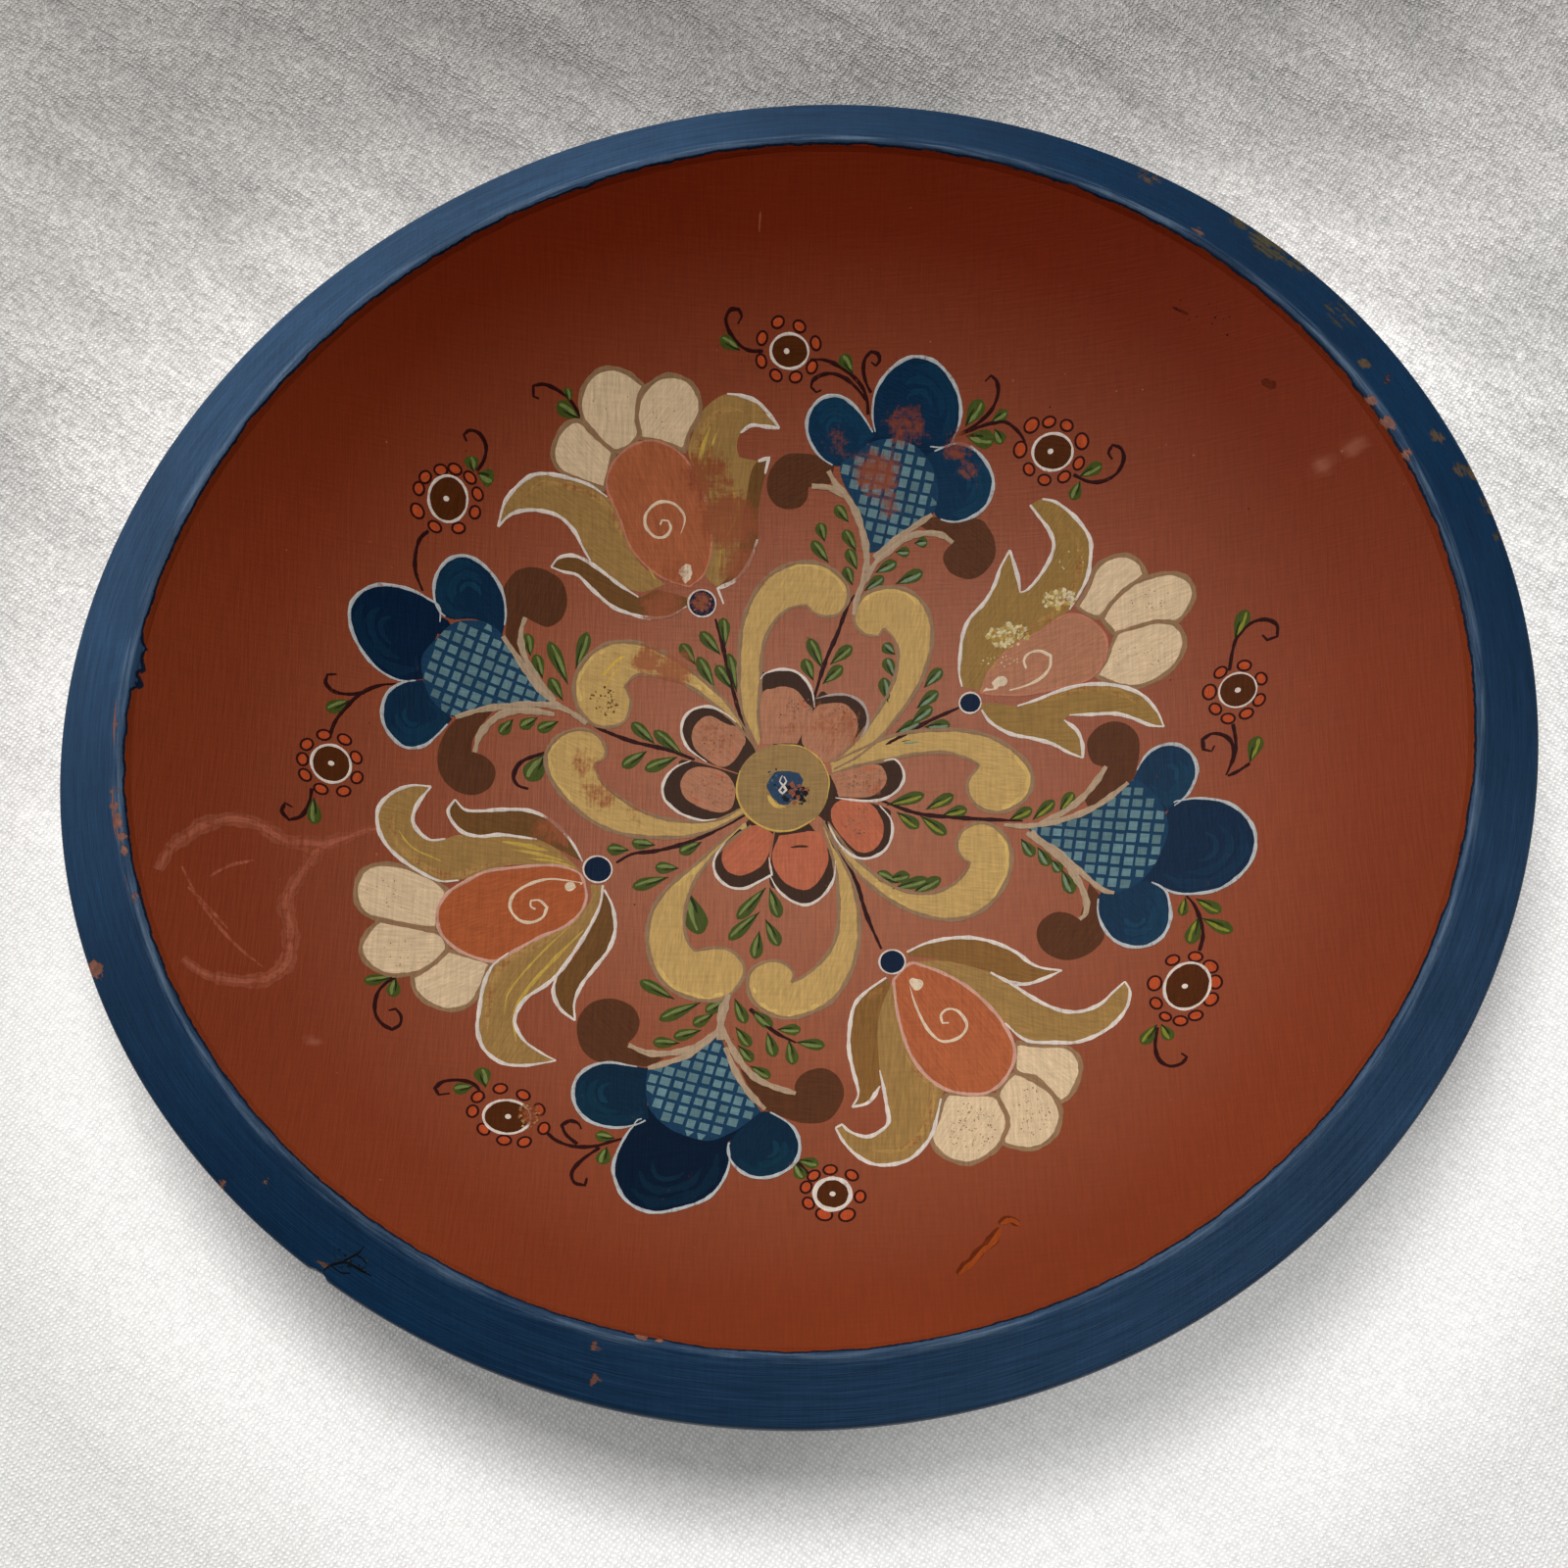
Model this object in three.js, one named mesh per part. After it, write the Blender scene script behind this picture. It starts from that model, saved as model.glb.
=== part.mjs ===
// Painted wooden bowl: one turned blank that dried slightly oval, under a blue and a red coat of paint.
// Millimetres, +Z up, +X along the grain and the longer axis. The origin is on the table, under the centre.
import * as THREE from "three";

// Rim
const turnedDiameter = 320;
const rimWidth = 12.6;
const rimFall = 7.1;
const lipRadius = 2.4;
const edgeHeight = 2.2;
const edgeRadius = 1;

// Inside
const insideDepth = 48;
const insideFullness = 2.6;
const floorThickness = 9;

// Foot
const footDiameter = 132;
const footHeight = 4.5;
const footRingWidth = 13;
const footEdgeRadius = 1;
const recessDepth = 1.5;
const recessSlope = 3;

// Paint: how thick it lies, and how far the blue reaches down the inside below the lip
const paintThickness = 0.4;
const blueBandWidth = 1.6;

// Movement of the wood as it dried: shrinkage across the grain, and two slow wavers of the turned circle
const shrinkAcrossGrain = 0.051;
const threeLobeWaver = 0.8;
const threeLobeDirection = THREE.MathUtils.degToRad(44.5);
const fourLobeWaver = 0.28;
const fourLobeDirection = THREE.MathUtils.degToRad(-6.4);

// Facets
const stepsRound = 72;
const stepsInside = 12;
const stepsOutside = 9;
const stepsInRounding = 3;

// Heights and radii that follow from the sizes above, to the wood under the paint
const rimRadius = turnedDiameter / 2 - paintThickness;
const lipCornerRadius = rimRadius - rimWidth;
const floorHeight = recessDepth + floorThickness;
const lipHeight = floorHeight + insideDepth;
const edgeTopHeight = lipHeight - rimFall;
const edgeBottomHeight = edgeTopHeight - edgeHeight;
const footRadius = footDiameter / 2;

// Points of a corner rounded between two straight legs
function rounded(before, corner, after, radius) {
  const toBefore = before.clone().sub(corner).normalize();
  const toAfter = after.clone().sub(corner).normalize();
  const halfAngle = Math.acos(toBefore.dot(toAfter)) / 2;
  const reach = radius / Math.tan(halfAngle);
  const start = corner.clone().addScaledVector(toBefore, reach);
  const end = corner.clone().addScaledVector(toAfter, reach);
  const inward = toBefore.clone().add(toAfter).normalize();
  const centre = corner.clone().addScaledVector(inward, radius / Math.sin(halfAngle));
  const fromAngle = start.clone().sub(centre).angle();
  const turn = Math.atan2(
    start.clone().sub(centre).cross(end.clone().sub(centre)),
    start.clone().sub(centre).dot(end.clone().sub(centre)),
  );
  return Array.from({ length: stepsInRounding + 1 }, (_, i) => {
    const angle = fromAngle + (turn * i) / stepsInRounding;
    return new THREE.Vector2(Math.cos(angle), Math.sin(angle)).multiplyScalar(radius).add(centre);
  });
}

// The hollow: flat in the middle, steeper and steeper towards the lip
function insidePoint(share) {
  const rise = insideDepth * Math.pow(share, insideFullness);
  return new THREE.Vector2(lipCornerRadius * share, floorHeight + rise);
}

// The back of the wall: it keeps the rim's width from the hollow at the top, and meets the foot below
const footShare = footRadius / rimRadius;
const dropAtRim = lipHeight - edgeBottomHeight;
const dropAtCentre =
  (insidePoint(footShare).y - dropAtRim * footShare - footHeight) / (1 - footShare);

function outsidePoint(share) {
  const drop = THREE.MathUtils.lerp(dropAtCentre, dropAtRim, share);
  return new THREE.Vector2(rimRadius * share, insidePoint(share).y - drop);
}

// The share of the hollow's radius where the blue paint on the inside wall ends
const lipSlope = (insideDepth * insideFullness) / lipCornerRadius;
const lipWallAngle = Math.atan(lipSlope);
const blueEndShare = 1 - ((lipRadius + blueBandWidth) * Math.cos(lipWallAngle)) / lipCornerRadius;

// The wood's profile in four stretches, from the centre of the hollow over the rim to the foot
const lipCorner = new THREE.Vector2(lipCornerRadius, lipHeight);
const edgeTop = new THREE.Vector2(rimRadius, edgeTopHeight);
const edgeBottom = new THREE.Vector2(rimRadius, edgeBottomHeight);

const hollow = Array.from({ length: stepsInside + 1 }, (_, i) =>
  insidePoint((blueEndShare * i) / stepsInside),
);
const rim = [
  hollow.at(-1),
  ...rounded(hollow.at(-1), lipCorner, edgeTop, lipRadius),
  ...rounded(lipCorner, edgeTop, edgeBottom, edgeRadius),
];
const back = Array.from({ length: stepsOutside + 1 }, (_, i) =>
  outsidePoint(1 - ((1 - footShare) * i) / stepsOutside),
);
const footCorner = new THREE.Vector2(footRadius, 0);
const ringInner = new THREE.Vector2(footRadius - footRingWidth, 0);
const recessEdge = new THREE.Vector2(ringInner.x - recessSlope, recessDepth);
const foot = [
  ...rounded(back.at(-1), footCorner, ringInner, footEdgeRadius),
  ringInner,
  recessEdge,
  new THREE.Vector2(0, recessDepth),
];

// A skin of even thickness over an open stretch of the profile, as a closed outline
function skinOver(stretch) {
  const lifted = stretch.map((point, i) => {
    const before = stretch[Math.max(i - 1, 0)];
    const after = stretch[Math.min(i + 1, stretch.length - 1)];
    const along = after.clone().sub(before).normalize();
    return new THREE.Vector2(-along.y, along.x).multiplyScalar(paintThickness).add(point);
  });
  lifted[0].x = Math.max(lifted[0].x, 0);
  return { under: stretch, over: lifted };
}

// Split every facet pair along the same diagonal, whichever way the outline runs, so that two pieces
// that touch share their facets exactly
function alignDiagonals(geometry, outline) {
  const index = geometry.getIndex();
  for (let pair = 0; pair * 6 < index.count; pair += 1) {
    const from = outline[pair % (outline.length - 1)];
    const to = outline[(pair % (outline.length - 1)) + 1];
    const runsOutward = to.x === from.x ? to.y > from.y : to.x > from.x;
    if (runsOutward) continue;
    const [a, b, d, c] = [0, 1, 2, 3].map((corner) => index.getX(pair * 6 + corner));
    [a, b, c, a, c, d].forEach((vertex, i) => index.setX(pair * 6 + i, vertex));
  }
}

// Turn a profile and let the round dry to its uneven oval
function turned(outline) {
  const geometry = new THREE.LatheGeometry(outline, stepsRound);
  alignDiagonals(geometry, outline);
  geometry.deleteAttribute("normal");
  geometry.deleteAttribute("uv");
  geometry.rotateX(Math.PI / 2);
  const position = geometry.getAttribute("position");
  for (let i = 0; i < position.count; i += 1) {
    const x = position.getX(i);
    const y = position.getY(i);
    const radius = Math.hypot(x, y);
    const angle = Math.atan2(y, x);
    const waver =
      threeLobeWaver * Math.cos(3 * (angle - threeLobeDirection)) +
      fourLobeWaver * Math.cos(4 * (angle - fourLobeDirection));
    const moved = radius + waver * (radius / rimRadius) ** 2;
    position.setX(i, moved * Math.cos(angle));
    position.setY(i, moved * Math.sin(angle) * (1 - shrinkAcrossGrain));
  }
  geometry.computeVertexNormals();
  return geometry;
}

const woodProfile = [...hollow, ...rim.slice(1), ...back, ...foot];

// The two coats meet edge to edge on the inside wall, so they share the raised point there
const redSkin = skinOver(hollow);
const blueSkin = skinOver([...rim, ...back]);
blueSkin.over[0] = redSkin.over.at(-1);
const redProfile = [...redSkin.over, ...redSkin.under.toReversed()];
const blueProfile = [...blueSkin.over, ...blueSkin.under.toReversed(), blueSkin.over[0]];

const bareWood = new THREE.MeshStandardMaterial({ color: 0x8a6a48, roughness: 0.75, metalness: 0 });
const bluePaint = new THREE.MeshStandardMaterial({ color: 0x2a4a70, roughness: 0.5, metalness: 0 });
const redPaint = new THREE.MeshStandardMaterial({ color: 0x7c3418, roughness: 0.55, metalness: 0 });

function piece(name, outline, material) {
  const mesh = new THREE.Mesh(turned(outline.toReversed()), material);
  mesh.name = name;
  return mesh;
}

const bowl = new THREE.Group();
bowl.add(piece("turned_bowl", woodProfile, bareWood));
bowl.add(piece("blue_outer_coat", blueProfile, bluePaint));
bowl.add(piece("red_inside_coat", redProfile, redPaint));

export default bowl;
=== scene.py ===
"""A turned wooden bowl with a blue rim and a painted flower wreath in its red hollow.

Sizes are in millimetres until a mesh is made. The painter's plane has u to the right and v away from the
camera, and is the bowl seen straight down.
"""
import math

import bpy
import numpy as np
from mathutils import Matrix, Vector, noise
from mathutils.geometry import delaunay_2d_cdt


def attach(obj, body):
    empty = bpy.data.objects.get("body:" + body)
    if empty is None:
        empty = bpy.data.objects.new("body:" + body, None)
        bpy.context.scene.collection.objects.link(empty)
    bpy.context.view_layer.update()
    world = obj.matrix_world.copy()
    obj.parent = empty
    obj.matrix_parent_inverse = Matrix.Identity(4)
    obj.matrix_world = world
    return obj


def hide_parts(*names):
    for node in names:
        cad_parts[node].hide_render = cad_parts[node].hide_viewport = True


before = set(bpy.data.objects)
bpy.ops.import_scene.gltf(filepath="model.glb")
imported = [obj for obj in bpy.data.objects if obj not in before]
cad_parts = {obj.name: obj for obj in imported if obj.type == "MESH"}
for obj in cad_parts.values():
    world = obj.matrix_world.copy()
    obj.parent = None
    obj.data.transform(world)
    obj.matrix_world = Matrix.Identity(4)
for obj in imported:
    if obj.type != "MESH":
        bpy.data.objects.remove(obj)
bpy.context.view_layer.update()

MM = 0.001

# The turned bowl, as the CAD model has it
TURNED_DIAMETER = 320
RIM_WIDTH = 12.6
RIM_FALL = 7.1
LIP_RADIUS = 2.4
EDGE_HEIGHT = 2.2
EDGE_RADIUS = 1
INSIDE_DEPTH = 48
INSIDE_FULLNESS = 2.6
FLOOR_THICKNESS = 9
FOOT_DIAMETER = 132
FOOT_HEIGHT = 4.5
FOOT_RING_WIDTH = 13
FOOT_EDGE_RADIUS = 1
RECESS_DEPTH = 1.5
RECESS_SLOPE = 3
PAINT_THICKNESS = 0.4
BLUE_BAND_WIDTH = 1.6
SHRINK_ACROSS_GRAIN = 0.051
THREE_LOBE_WAVER = 0.8
THREE_LOBE_DIRECTION = math.radians(44.5)
FOUR_LOBE_WAVER = 0.28
FOUR_LOBE_DIRECTION = math.radians(-6.4)

RIM_RADIUS = TURNED_DIAMETER / 2 - PAINT_THICKNESS
LIP_CORNER_RADIUS = RIM_RADIUS - RIM_WIDTH
FLOOR_HEIGHT = RECESS_DEPTH + FLOOR_THICKNESS
LIP_HEIGHT = FLOOR_HEIGHT + INSIDE_DEPTH
FOOT_RADIUS = FOOT_DIAMETER / 2

# The photograph's view: how far the bowl lies turned, and where the camera stands over it
BOWL_TURN = math.radians(15.494)
CAMERA_TILT = math.radians(20)
CAMERA_ROLL = math.radians(2.0617)
CAMERA_DISTANCE = 672.94
CAMERA_ASIDE = -4.558
CAMERA_NEARER = -15.334
CAMERA_AIM_HEIGHT = 51.3
CAMERA_LENS = 72
CAMERA_SENSOR = 36
CAMERA_SEES_FROM = 0.05
CAMERA_SEES_TO = 20
PAINTER_TURN = BOWL_TURN + CAMERA_ROLL

# Facets, and from what angle an edge is shown sharp
STEPS_ROUND = 576
STEPS_INSIDE = 72
STEPS_OUTSIDE = 48
STEPS_IN_ROUNDING = 6
STEPS_BESIDE_ROUNDING = 3
STEPS_ON_RIM = 16
STEPS_IN_RECESS = 16
SHARP_EDGE = math.radians(40)

# The shown lip is sharper and a little further in, and as high as the rounded one of the CAD model
SHOWN_LIP_RADIUS = 1.3
SHOWN_LIP_DROP = 0.24
SHOWN_LIP_INWARD = 1.3

# How often the turned radius of a point is found again from its dried place
INVERSE_STEPS = 3


def srgb(red, green, blue):
    """A colour as a chart gives it, 0 to 255, in linear light."""
    shares = [c / 255 for c in (red, green, blue)]
    return tuple(s / 12.92 if s <= 0.04045 else ((s + 0.055) / 1.055) ** 2.4 for s in shares)


# Paints
GROUND_RED = srgb(132, 54, 24)
# Painted shade: the darker red towards the hollow's far wall
GROUND_FAR_SHADE = srgb(118, 36, 8)
# Painted light: the paler red of the middle of the hollow, for the floor being lit more than the walls
GROUND_LIT_MIDDLE = srgb(166, 98, 65)
GROUND_SPECK = srgb(176, 104, 78)
GROUND_SCUFF = srgb(176, 110, 84)
# The rim's blue, and the paler blue of a painted sheen over two opposite quarters of the rim
RIM_BLUE_UNSHEENED = srgb(3, 45, 77)
RIM_SHEEN_BLUE = srgb(53, 81, 112)
# Paler blue along the lip's crest: partly rubbed wear, partly a painted highlight
RIM_LIP_WORN_AND_LIT = srgb(120, 140, 160)
CHIP_BROWN = srgb(146, 96, 78)
CHIP_GREEN = srgb(84, 76, 50)
OCHRE = srgb(197, 160, 97)
OCHRE_EDGE = srgb(150, 118, 88)
OCHRE_LIGHT = srgb(214, 178, 104)
RING_OCHRE = srgb(156, 124, 76)
PALE_YELLOW = srgb(208, 172, 88)
BRIGHT_YELLOW = srgb(218, 176, 78)
HEART_BRIGHT = srgb(178, 96, 58)
HEART_BROWN = srgb(173, 90, 50)
HEART_EDGE = srgb(208, 158, 138)
SALMON_DULL = srgb(178, 120, 90)
SALMON_WARM = srgb(188, 103, 72)
SALMON_LIGHT = srgb(192, 104, 72)
SALMON_PALE = srgb(192, 122, 96)
SALMON_DEEP = srgb(150, 70, 46)
EYE_BLUE = srgb(42, 66, 92)
FADED_SALMON = srgb(170, 95, 60)
DARK_BROWN = srgb(62, 40, 28)
COMMA_BROWN = srgb(90, 51, 29)
CREAM = srgb(223, 194, 156)
CREAM_EDGE = srgb(150, 116, 84)
OLIVE = srgb(160, 123, 70)
OLIVE_DARK = srgb(152, 117, 62)
LEAF_BROWN = srgb(112, 75, 37)
LEAF_TAN = srgb(136, 95, 48)
DEEP_BLUE = srgb(3, 27, 54)
MID_BLUE = srgb(24, 60, 88)
BELL_GREEN = srgb(96, 126, 132)
WHITE = srgb(226, 212, 200)
WHITE_WARM = srgb(226, 202, 172)
WHITE_BLUE = srgb(186, 190, 190)
GREY_WHITE = srgb(176, 160, 152)
BEIGE = srgb(178, 152, 124)
MAROON = srgb(48, 16, 15)
DAISY_BROWN = srgb(80, 38, 10)
BERRY_ORANGE = srgb(182, 76, 38)
DARK_GREEN = srgb(70, 82, 30)
LEAF_SHADE = srgb(38, 46, 18)
LEAF_GREEN = srgb(118, 132, 72)
SEA_GREEN = srgb(120, 142, 112)
YELLOW_GREEN = srgb(134, 136, 48)
NAVY_BAND = srgb(12, 26, 44)
BARE_WOOD = srgb(150, 112, 74)
PALE_OLIVE = srgb(196, 162, 74)
STAIN = srgb(146, 76, 52)
STAIN_PALE = srgb(164, 90, 66)
SMEAR_DARK = srgb(100, 38, 12)
SMEAR_BRIGHT = srgb(152, 68, 24)
CRACK = srgb(14, 18, 22)
RIM_SCRATCH = srgb(140, 92, 78)

# Bits of paint strewn together, by the colours they have
FLECK_PALE = [srgb(214, 196, 146), srgb(196, 168, 96), srgb(222, 208, 172), srgb(178, 140, 70)]
FLECK_DARK = [srgb(150, 118, 88), srgb(130, 96, 66)]
FLECK_SALMON = [srgb(150, 84, 60), srgb(176, 96, 70)]
FLECK_TAN = [srgb(176, 132, 80), srgb(150, 104, 60), srgb(196, 156, 104)]
FLECK_UMBER = [srgb(122, 92, 38), srgb(92, 62, 26)]
FLECK_GREY = [srgb(146, 100, 78), srgb(158, 116, 96), srgb(132, 84, 62)]
FLECK_EYE = [srgb(22, 20, 24), srgb(150, 84, 58), srgb(10, 16, 28)]
FLECK_BLUE = [srgb(84, 104, 116), srgb(8, 30, 58)]
FLECK_GROUND = [srgb(176, 104, 80), srgb(60, 26, 16)]
FLECK_BURN = [srgb(60, 22, 12)]
FLECK_NICK = [srgb(40, 62, 66), srgb(16, 30, 44)]
FLECK_RIM = [srgb(120, 70, 56), srgb(60, 36, 30)]

# The blues of the four bell flowers' petals, and how much lighter their swirls and the small petals are
PETAL_BLUES = [srgb(5, 38, 66), srgb(19, 41, 66), srgb(2, 24, 46), DEEP_BLUE]
PETAL_SWIRL = np.array([0.004, 0.03, 0.045])
SMALL_PETAL_LIGHT = np.array([0.003, 0.018, 0.03])


def waver(angle):
    """How far the turned circle has moved out at the rim."""
    three = THREE_LOBE_WAVER * np.cos(3 * (angle - THREE_LOBE_DIRECTION))
    four = FOUR_LOBE_WAVER * np.cos(4 * (angle - FOUR_LOBE_DIRECTION))
    return three + four


def dried(radius, angle):
    """Where a turned point lies now that the wood has dried."""
    moved = radius + waver(angle) * (radius / RIM_RADIUS) ** 2
    return moved * np.cos(angle), moved * np.sin(angle) * (1 - SHRINK_ACROSS_GRAIN)


def turned_radius(x, y):
    """The radius that a point in plan was turned at."""
    turned_y = y / (1 - SHRINK_ACROSS_GRAIN)
    moved = np.hypot(x, turned_y)
    shift = waver(np.arctan2(turned_y, x))
    radius = moved
    for _ in range(INVERSE_STEPS):
        radius = moved - shift * (radius / RIM_RADIUS) ** 2
    return radius


def hollow_height(radius):
    """The height of the red paint's face in the hollow."""
    share = radius / LIP_CORNER_RADIUS
    slope = INSIDE_DEPTH * INSIDE_FULLNESS / LIP_CORNER_RADIUS * share ** (INSIDE_FULLNESS - 1)
    return FLOOR_HEIGHT + INSIDE_DEPTH * share**INSIDE_FULLNESS + PAINT_THICKNESS * np.hypot(1, slope)


def rim_height(radius):
    """The height of the blue paint's face on top of the rim."""
    corner, fall = LIP_CORNER_RADIUS - SHOWN_LIP_INWARD, RIM_FALL - SHOWN_LIP_DROP
    slope = fall / (RIM_RADIUS - corner)
    out = np.maximum(radius - corner, SHOWN_LIP_RADIUS)
    return LIP_HEIGHT - SHOWN_LIP_DROP - out * slope + PAINT_THICKNESS * math.hypot(1, slope)


def to_bowl(points):
    """Points of the painter's plane in the bowl's own plan."""
    u, v = np.asarray(points, float).T
    cosine, sine = math.cos(PAINTER_TURN), math.sin(PAINTER_TURN)
    return np.stack([cosine * u + sine * v, cosine * v - sine * u], 1)


# Profiles

def rounded(before, corner, after, radius):
    """Points of a corner rounded between two straight legs."""
    to_before = (before - corner) / np.linalg.norm(before - corner)
    to_after = (after - corner) / np.linalg.norm(after - corner)
    half_angle = math.acos(float(to_before @ to_after)) / 2
    start = corner + to_before * radius / math.tan(half_angle)
    end = corner + to_after * radius / math.tan(half_angle)
    inward = (to_before + to_after) / np.linalg.norm(to_before + to_after)
    centre = corner + inward * radius / math.sin(half_angle)
    first, last = start - centre, end - centre
    turn = math.atan2(first[0] * last[1] - first[1] * last[0], float(first @ last))
    from_angle = math.atan2(first[1], first[0])
    angles = from_angle + turn * np.linspace(0, 1, STEPS_IN_ROUNDING + 1)
    return [centre + radius * np.array([math.cos(a), math.sin(a)]) for a in angles]


def inside_point(share):
    """The wood's face in the hollow, at a share of its radius."""
    return np.array([LIP_CORNER_RADIUS * share, FLOOR_HEIGHT + INSIDE_DEPTH * share**INSIDE_FULLNESS])


FOOT_SHARE = FOOT_RADIUS / RIM_RADIUS
DROP_AT_RIM = RIM_FALL + EDGE_HEIGHT
DROP_AT_CENTRE = (inside_point(FOOT_SHARE)[1] - DROP_AT_RIM * FOOT_SHARE - FOOT_HEIGHT) / (1 - FOOT_SHARE)


def outside_point(share):
    """The wood's face on the back of the wall, at a share of the rim's radius."""
    drop = DROP_AT_CENTRE + (DROP_AT_RIM - DROP_AT_CENTRE) * share
    return np.array([RIM_RADIUS * share, inside_point(share)[1] - drop])


LIP_WALL_ANGLE = math.atan(INSIDE_DEPTH * INSIDE_FULLNESS / LIP_CORNER_RADIUS)
BLUE_END_SHARE = 1 - (LIP_RADIUS + BLUE_BAND_WIDTH) * math.cos(LIP_WALL_ANGLE) / LIP_CORNER_RADIUS


def between(first, last, steps):
    """Points on the straight way from first to last, without last."""
    return [first + (last - first) * i / steps for i in range(steps)]


def bowl_profiles():
    """The wood's hollow, its rim, the back of its wall and its foot, each as a run of points."""
    lip_corner = np.array([LIP_CORNER_RADIUS - SHOWN_LIP_INWARD, LIP_HEIGHT - SHOWN_LIP_DROP])
    edge_top = np.array([RIM_RADIUS, LIP_HEIGHT - RIM_FALL])
    edge_bottom = edge_top - [0, EDGE_HEIGHT]
    hollow = [inside_point(BLUE_END_SHARE * i / STEPS_INSIDE) for i in range(STEPS_INSIDE + 1)]
    lip = rounded(hollow[-1], lip_corner, edge_top, SHOWN_LIP_RADIUS)
    edge = rounded(lip_corner, edge_top, edge_bottom, EDGE_RADIUS)
    wall = between(hollow[-1], lip[0], STEPS_BESIDE_ROUNDING)
    rim = wall + lip[:-1] + between(lip[-1], edge[0], STEPS_ON_RIM) + edge
    shares = 1 - (1 - FOOT_SHARE) * np.linspace(0, 1, STEPS_OUTSIDE + 1)
    back = [outside_point(share) for share in shares]
    foot_corner = np.array([FOOT_RADIUS, 0])
    ring_inner = np.array([FOOT_RADIUS - FOOT_RING_WIDTH, 0])
    recess_edge = ring_inner + [-RECESS_SLOPE, RECESS_DEPTH]
    foot_edge = rounded(back[-1], foot_corner, ring_inner, FOOT_EDGE_RADIUS)
    middle = np.array([0, RECESS_DEPTH])
    foot = between(back[-1], foot_edge[0], STEPS_BESIDE_ROUNDING)[1:] + foot_edge
    foot += between(ring_inner, recess_edge, STEPS_BESIDE_ROUNDING)
    foot += between(recess_edge, middle, STEPS_IN_RECESS) + [middle]
    return hollow, rim, back, foot


def coat_over(run):
    """The face of a coat of even thickness over a run of the profile."""
    over = []
    for i, point in enumerate(run):
        along = run[min(i + 1, len(run) - 1)] - run[max(i - 1, 0)]
        normal = np.array([-along[1], along[0]]) / np.linalg.norm(along)
        over.append(point + PAINT_THICKNESS * normal)
    over[0][0] = max(over[0][0], 0)
    return over


# Materials

def principled(name):
    """A new material, its node tree and its shader."""
    material = bpy.data.materials.new(name)
    material.use_nodes = True
    tree = material.node_tree
    return material, tree, tree.nodes["Principled BSDF"]


# The stretch of values that nearly all of a noise lies in
NOISE_LOW, NOISE_HIGH = 0.3, 0.7


class Nodes:
    """Short names for the nodes that the materials here are made of."""

    def __init__(self, tree):
        self.tree = tree

    def add(self, kind, **settings):
        node = self.tree.nodes.new(kind)
        for name, value in settings.items():
            setattr(node, name, value)
        return node

    def link(self, source, socket):
        """Wire an output to an input, or set the input where the source is a plain value."""
        if hasattr(source, "links"):
            self.tree.links.new(source, socket)
        else:
            socket.default_value = source

    def attribute(self, name, output="Color"):
        return self.add("ShaderNodeAttribute", attribute_name=name).outputs[output]

    def position(self):
        return self.add("ShaderNodeNewGeometry").outputs["Position"]

    def coordinates(self, kind):
        return self.add("ShaderNodeTexCoord").outputs[kind]

    def split(self, vector):
        node = self.add("ShaderNodeSeparateXYZ")
        self.link(vector, node.inputs[0])
        return node.outputs

    def length(self, vector):
        node = self.add("ShaderNodeVectorMath", operation="LENGTH")
        self.link(vector, node.inputs[0])
        return node.outputs["Value"]

    def stretched(self, vector, scale):
        node = self.add("ShaderNodeVectorMath", operation="MULTIPLY")
        self.link(vector, node.inputs[0])
        node.inputs[1].default_value = scale
        return node.outputs["Vector"]

    def rotated(self, vector, angle):
        node = self.add("ShaderNodeVectorRotate", rotation_type="Z_AXIS")
        self.link(vector, node.inputs["Vector"])
        node.inputs["Angle"].default_value = angle
        return node.outputs["Vector"]

    def noise(self, vector, scale, detail=3, roughness=0.55):
        node = self.add("ShaderNodeTexNoise")
        self.link(vector, node.inputs["Vector"])
        node.inputs["Scale"].default_value = scale
        node.inputs["Detail"].default_value = detail
        node.inputs["Roughness"].default_value = roughness
        return node.outputs["Fac"]

    def ranged(self, value, low, high, to_low=0.0, to_high=1.0):
        """A value between low and high, moved to between two others."""
        node = self.add("ShaderNodeMapRange")
        self.link(value, node.inputs["Value"])
        node.inputs["From Min"].default_value = low
        node.inputs["From Max"].default_value = high
        node.inputs["To Min"].default_value = to_low
        node.inputs["To Max"].default_value = to_high
        return node.outputs["Result"]

    def swing(self, noise, to_low, to_high):
        """A noise spread from one value to another."""
        return self.ranged(noise, NOISE_LOW, NOISE_HIGH, to_low, to_high)

    def math(self, operation, first, second):
        node = self.add("ShaderNodeMath", operation=operation)
        self.link(first, node.inputs[0])
        self.link(second, node.inputs[1])
        return node.outputs["Value"]

    def plus(self, first, second):
        return self.math("ADD", first, second)

    def minus(self, first, second):
        return self.math("SUBTRACT", first, second)

    def times(self, first, second):
        return self.math("MULTIPLY", first, second)

    def mixed(self, factor, first, second):
        """From a first colour to a second one as the factor goes from 0 to 1."""
        node = self.add("ShaderNodeMix", data_type="RGBA")
        self.link(factor, node.inputs["Factor"])
        for value, socket in ((first, node.inputs[6]), (second, node.inputs[7])):
            self.link(value if hasattr(value, "links") else (*value, 1), socket)
        return node.outputs[2]

    def toned(self, colour, value):
        """A colour made darker or lighter by a number near 1."""
        node = self.add("ShaderNodeVectorMath", operation="SCALE")
        self.link(colour, node.inputs[0])
        self.link(value, node.inputs["Scale"])
        return node.outputs["Vector"]

    def bump(self, height, depth, socket):
        """Let a height of 1 look as deep as the given metres."""
        node = self.add("ShaderNodeBump")
        node.inputs["Distance"].default_value = depth
        node.inputs["Strength"].default_value = 1
        self.link(height, node.inputs["Height"])
        self.link(node.outputs["Normal"], socket)


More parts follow.
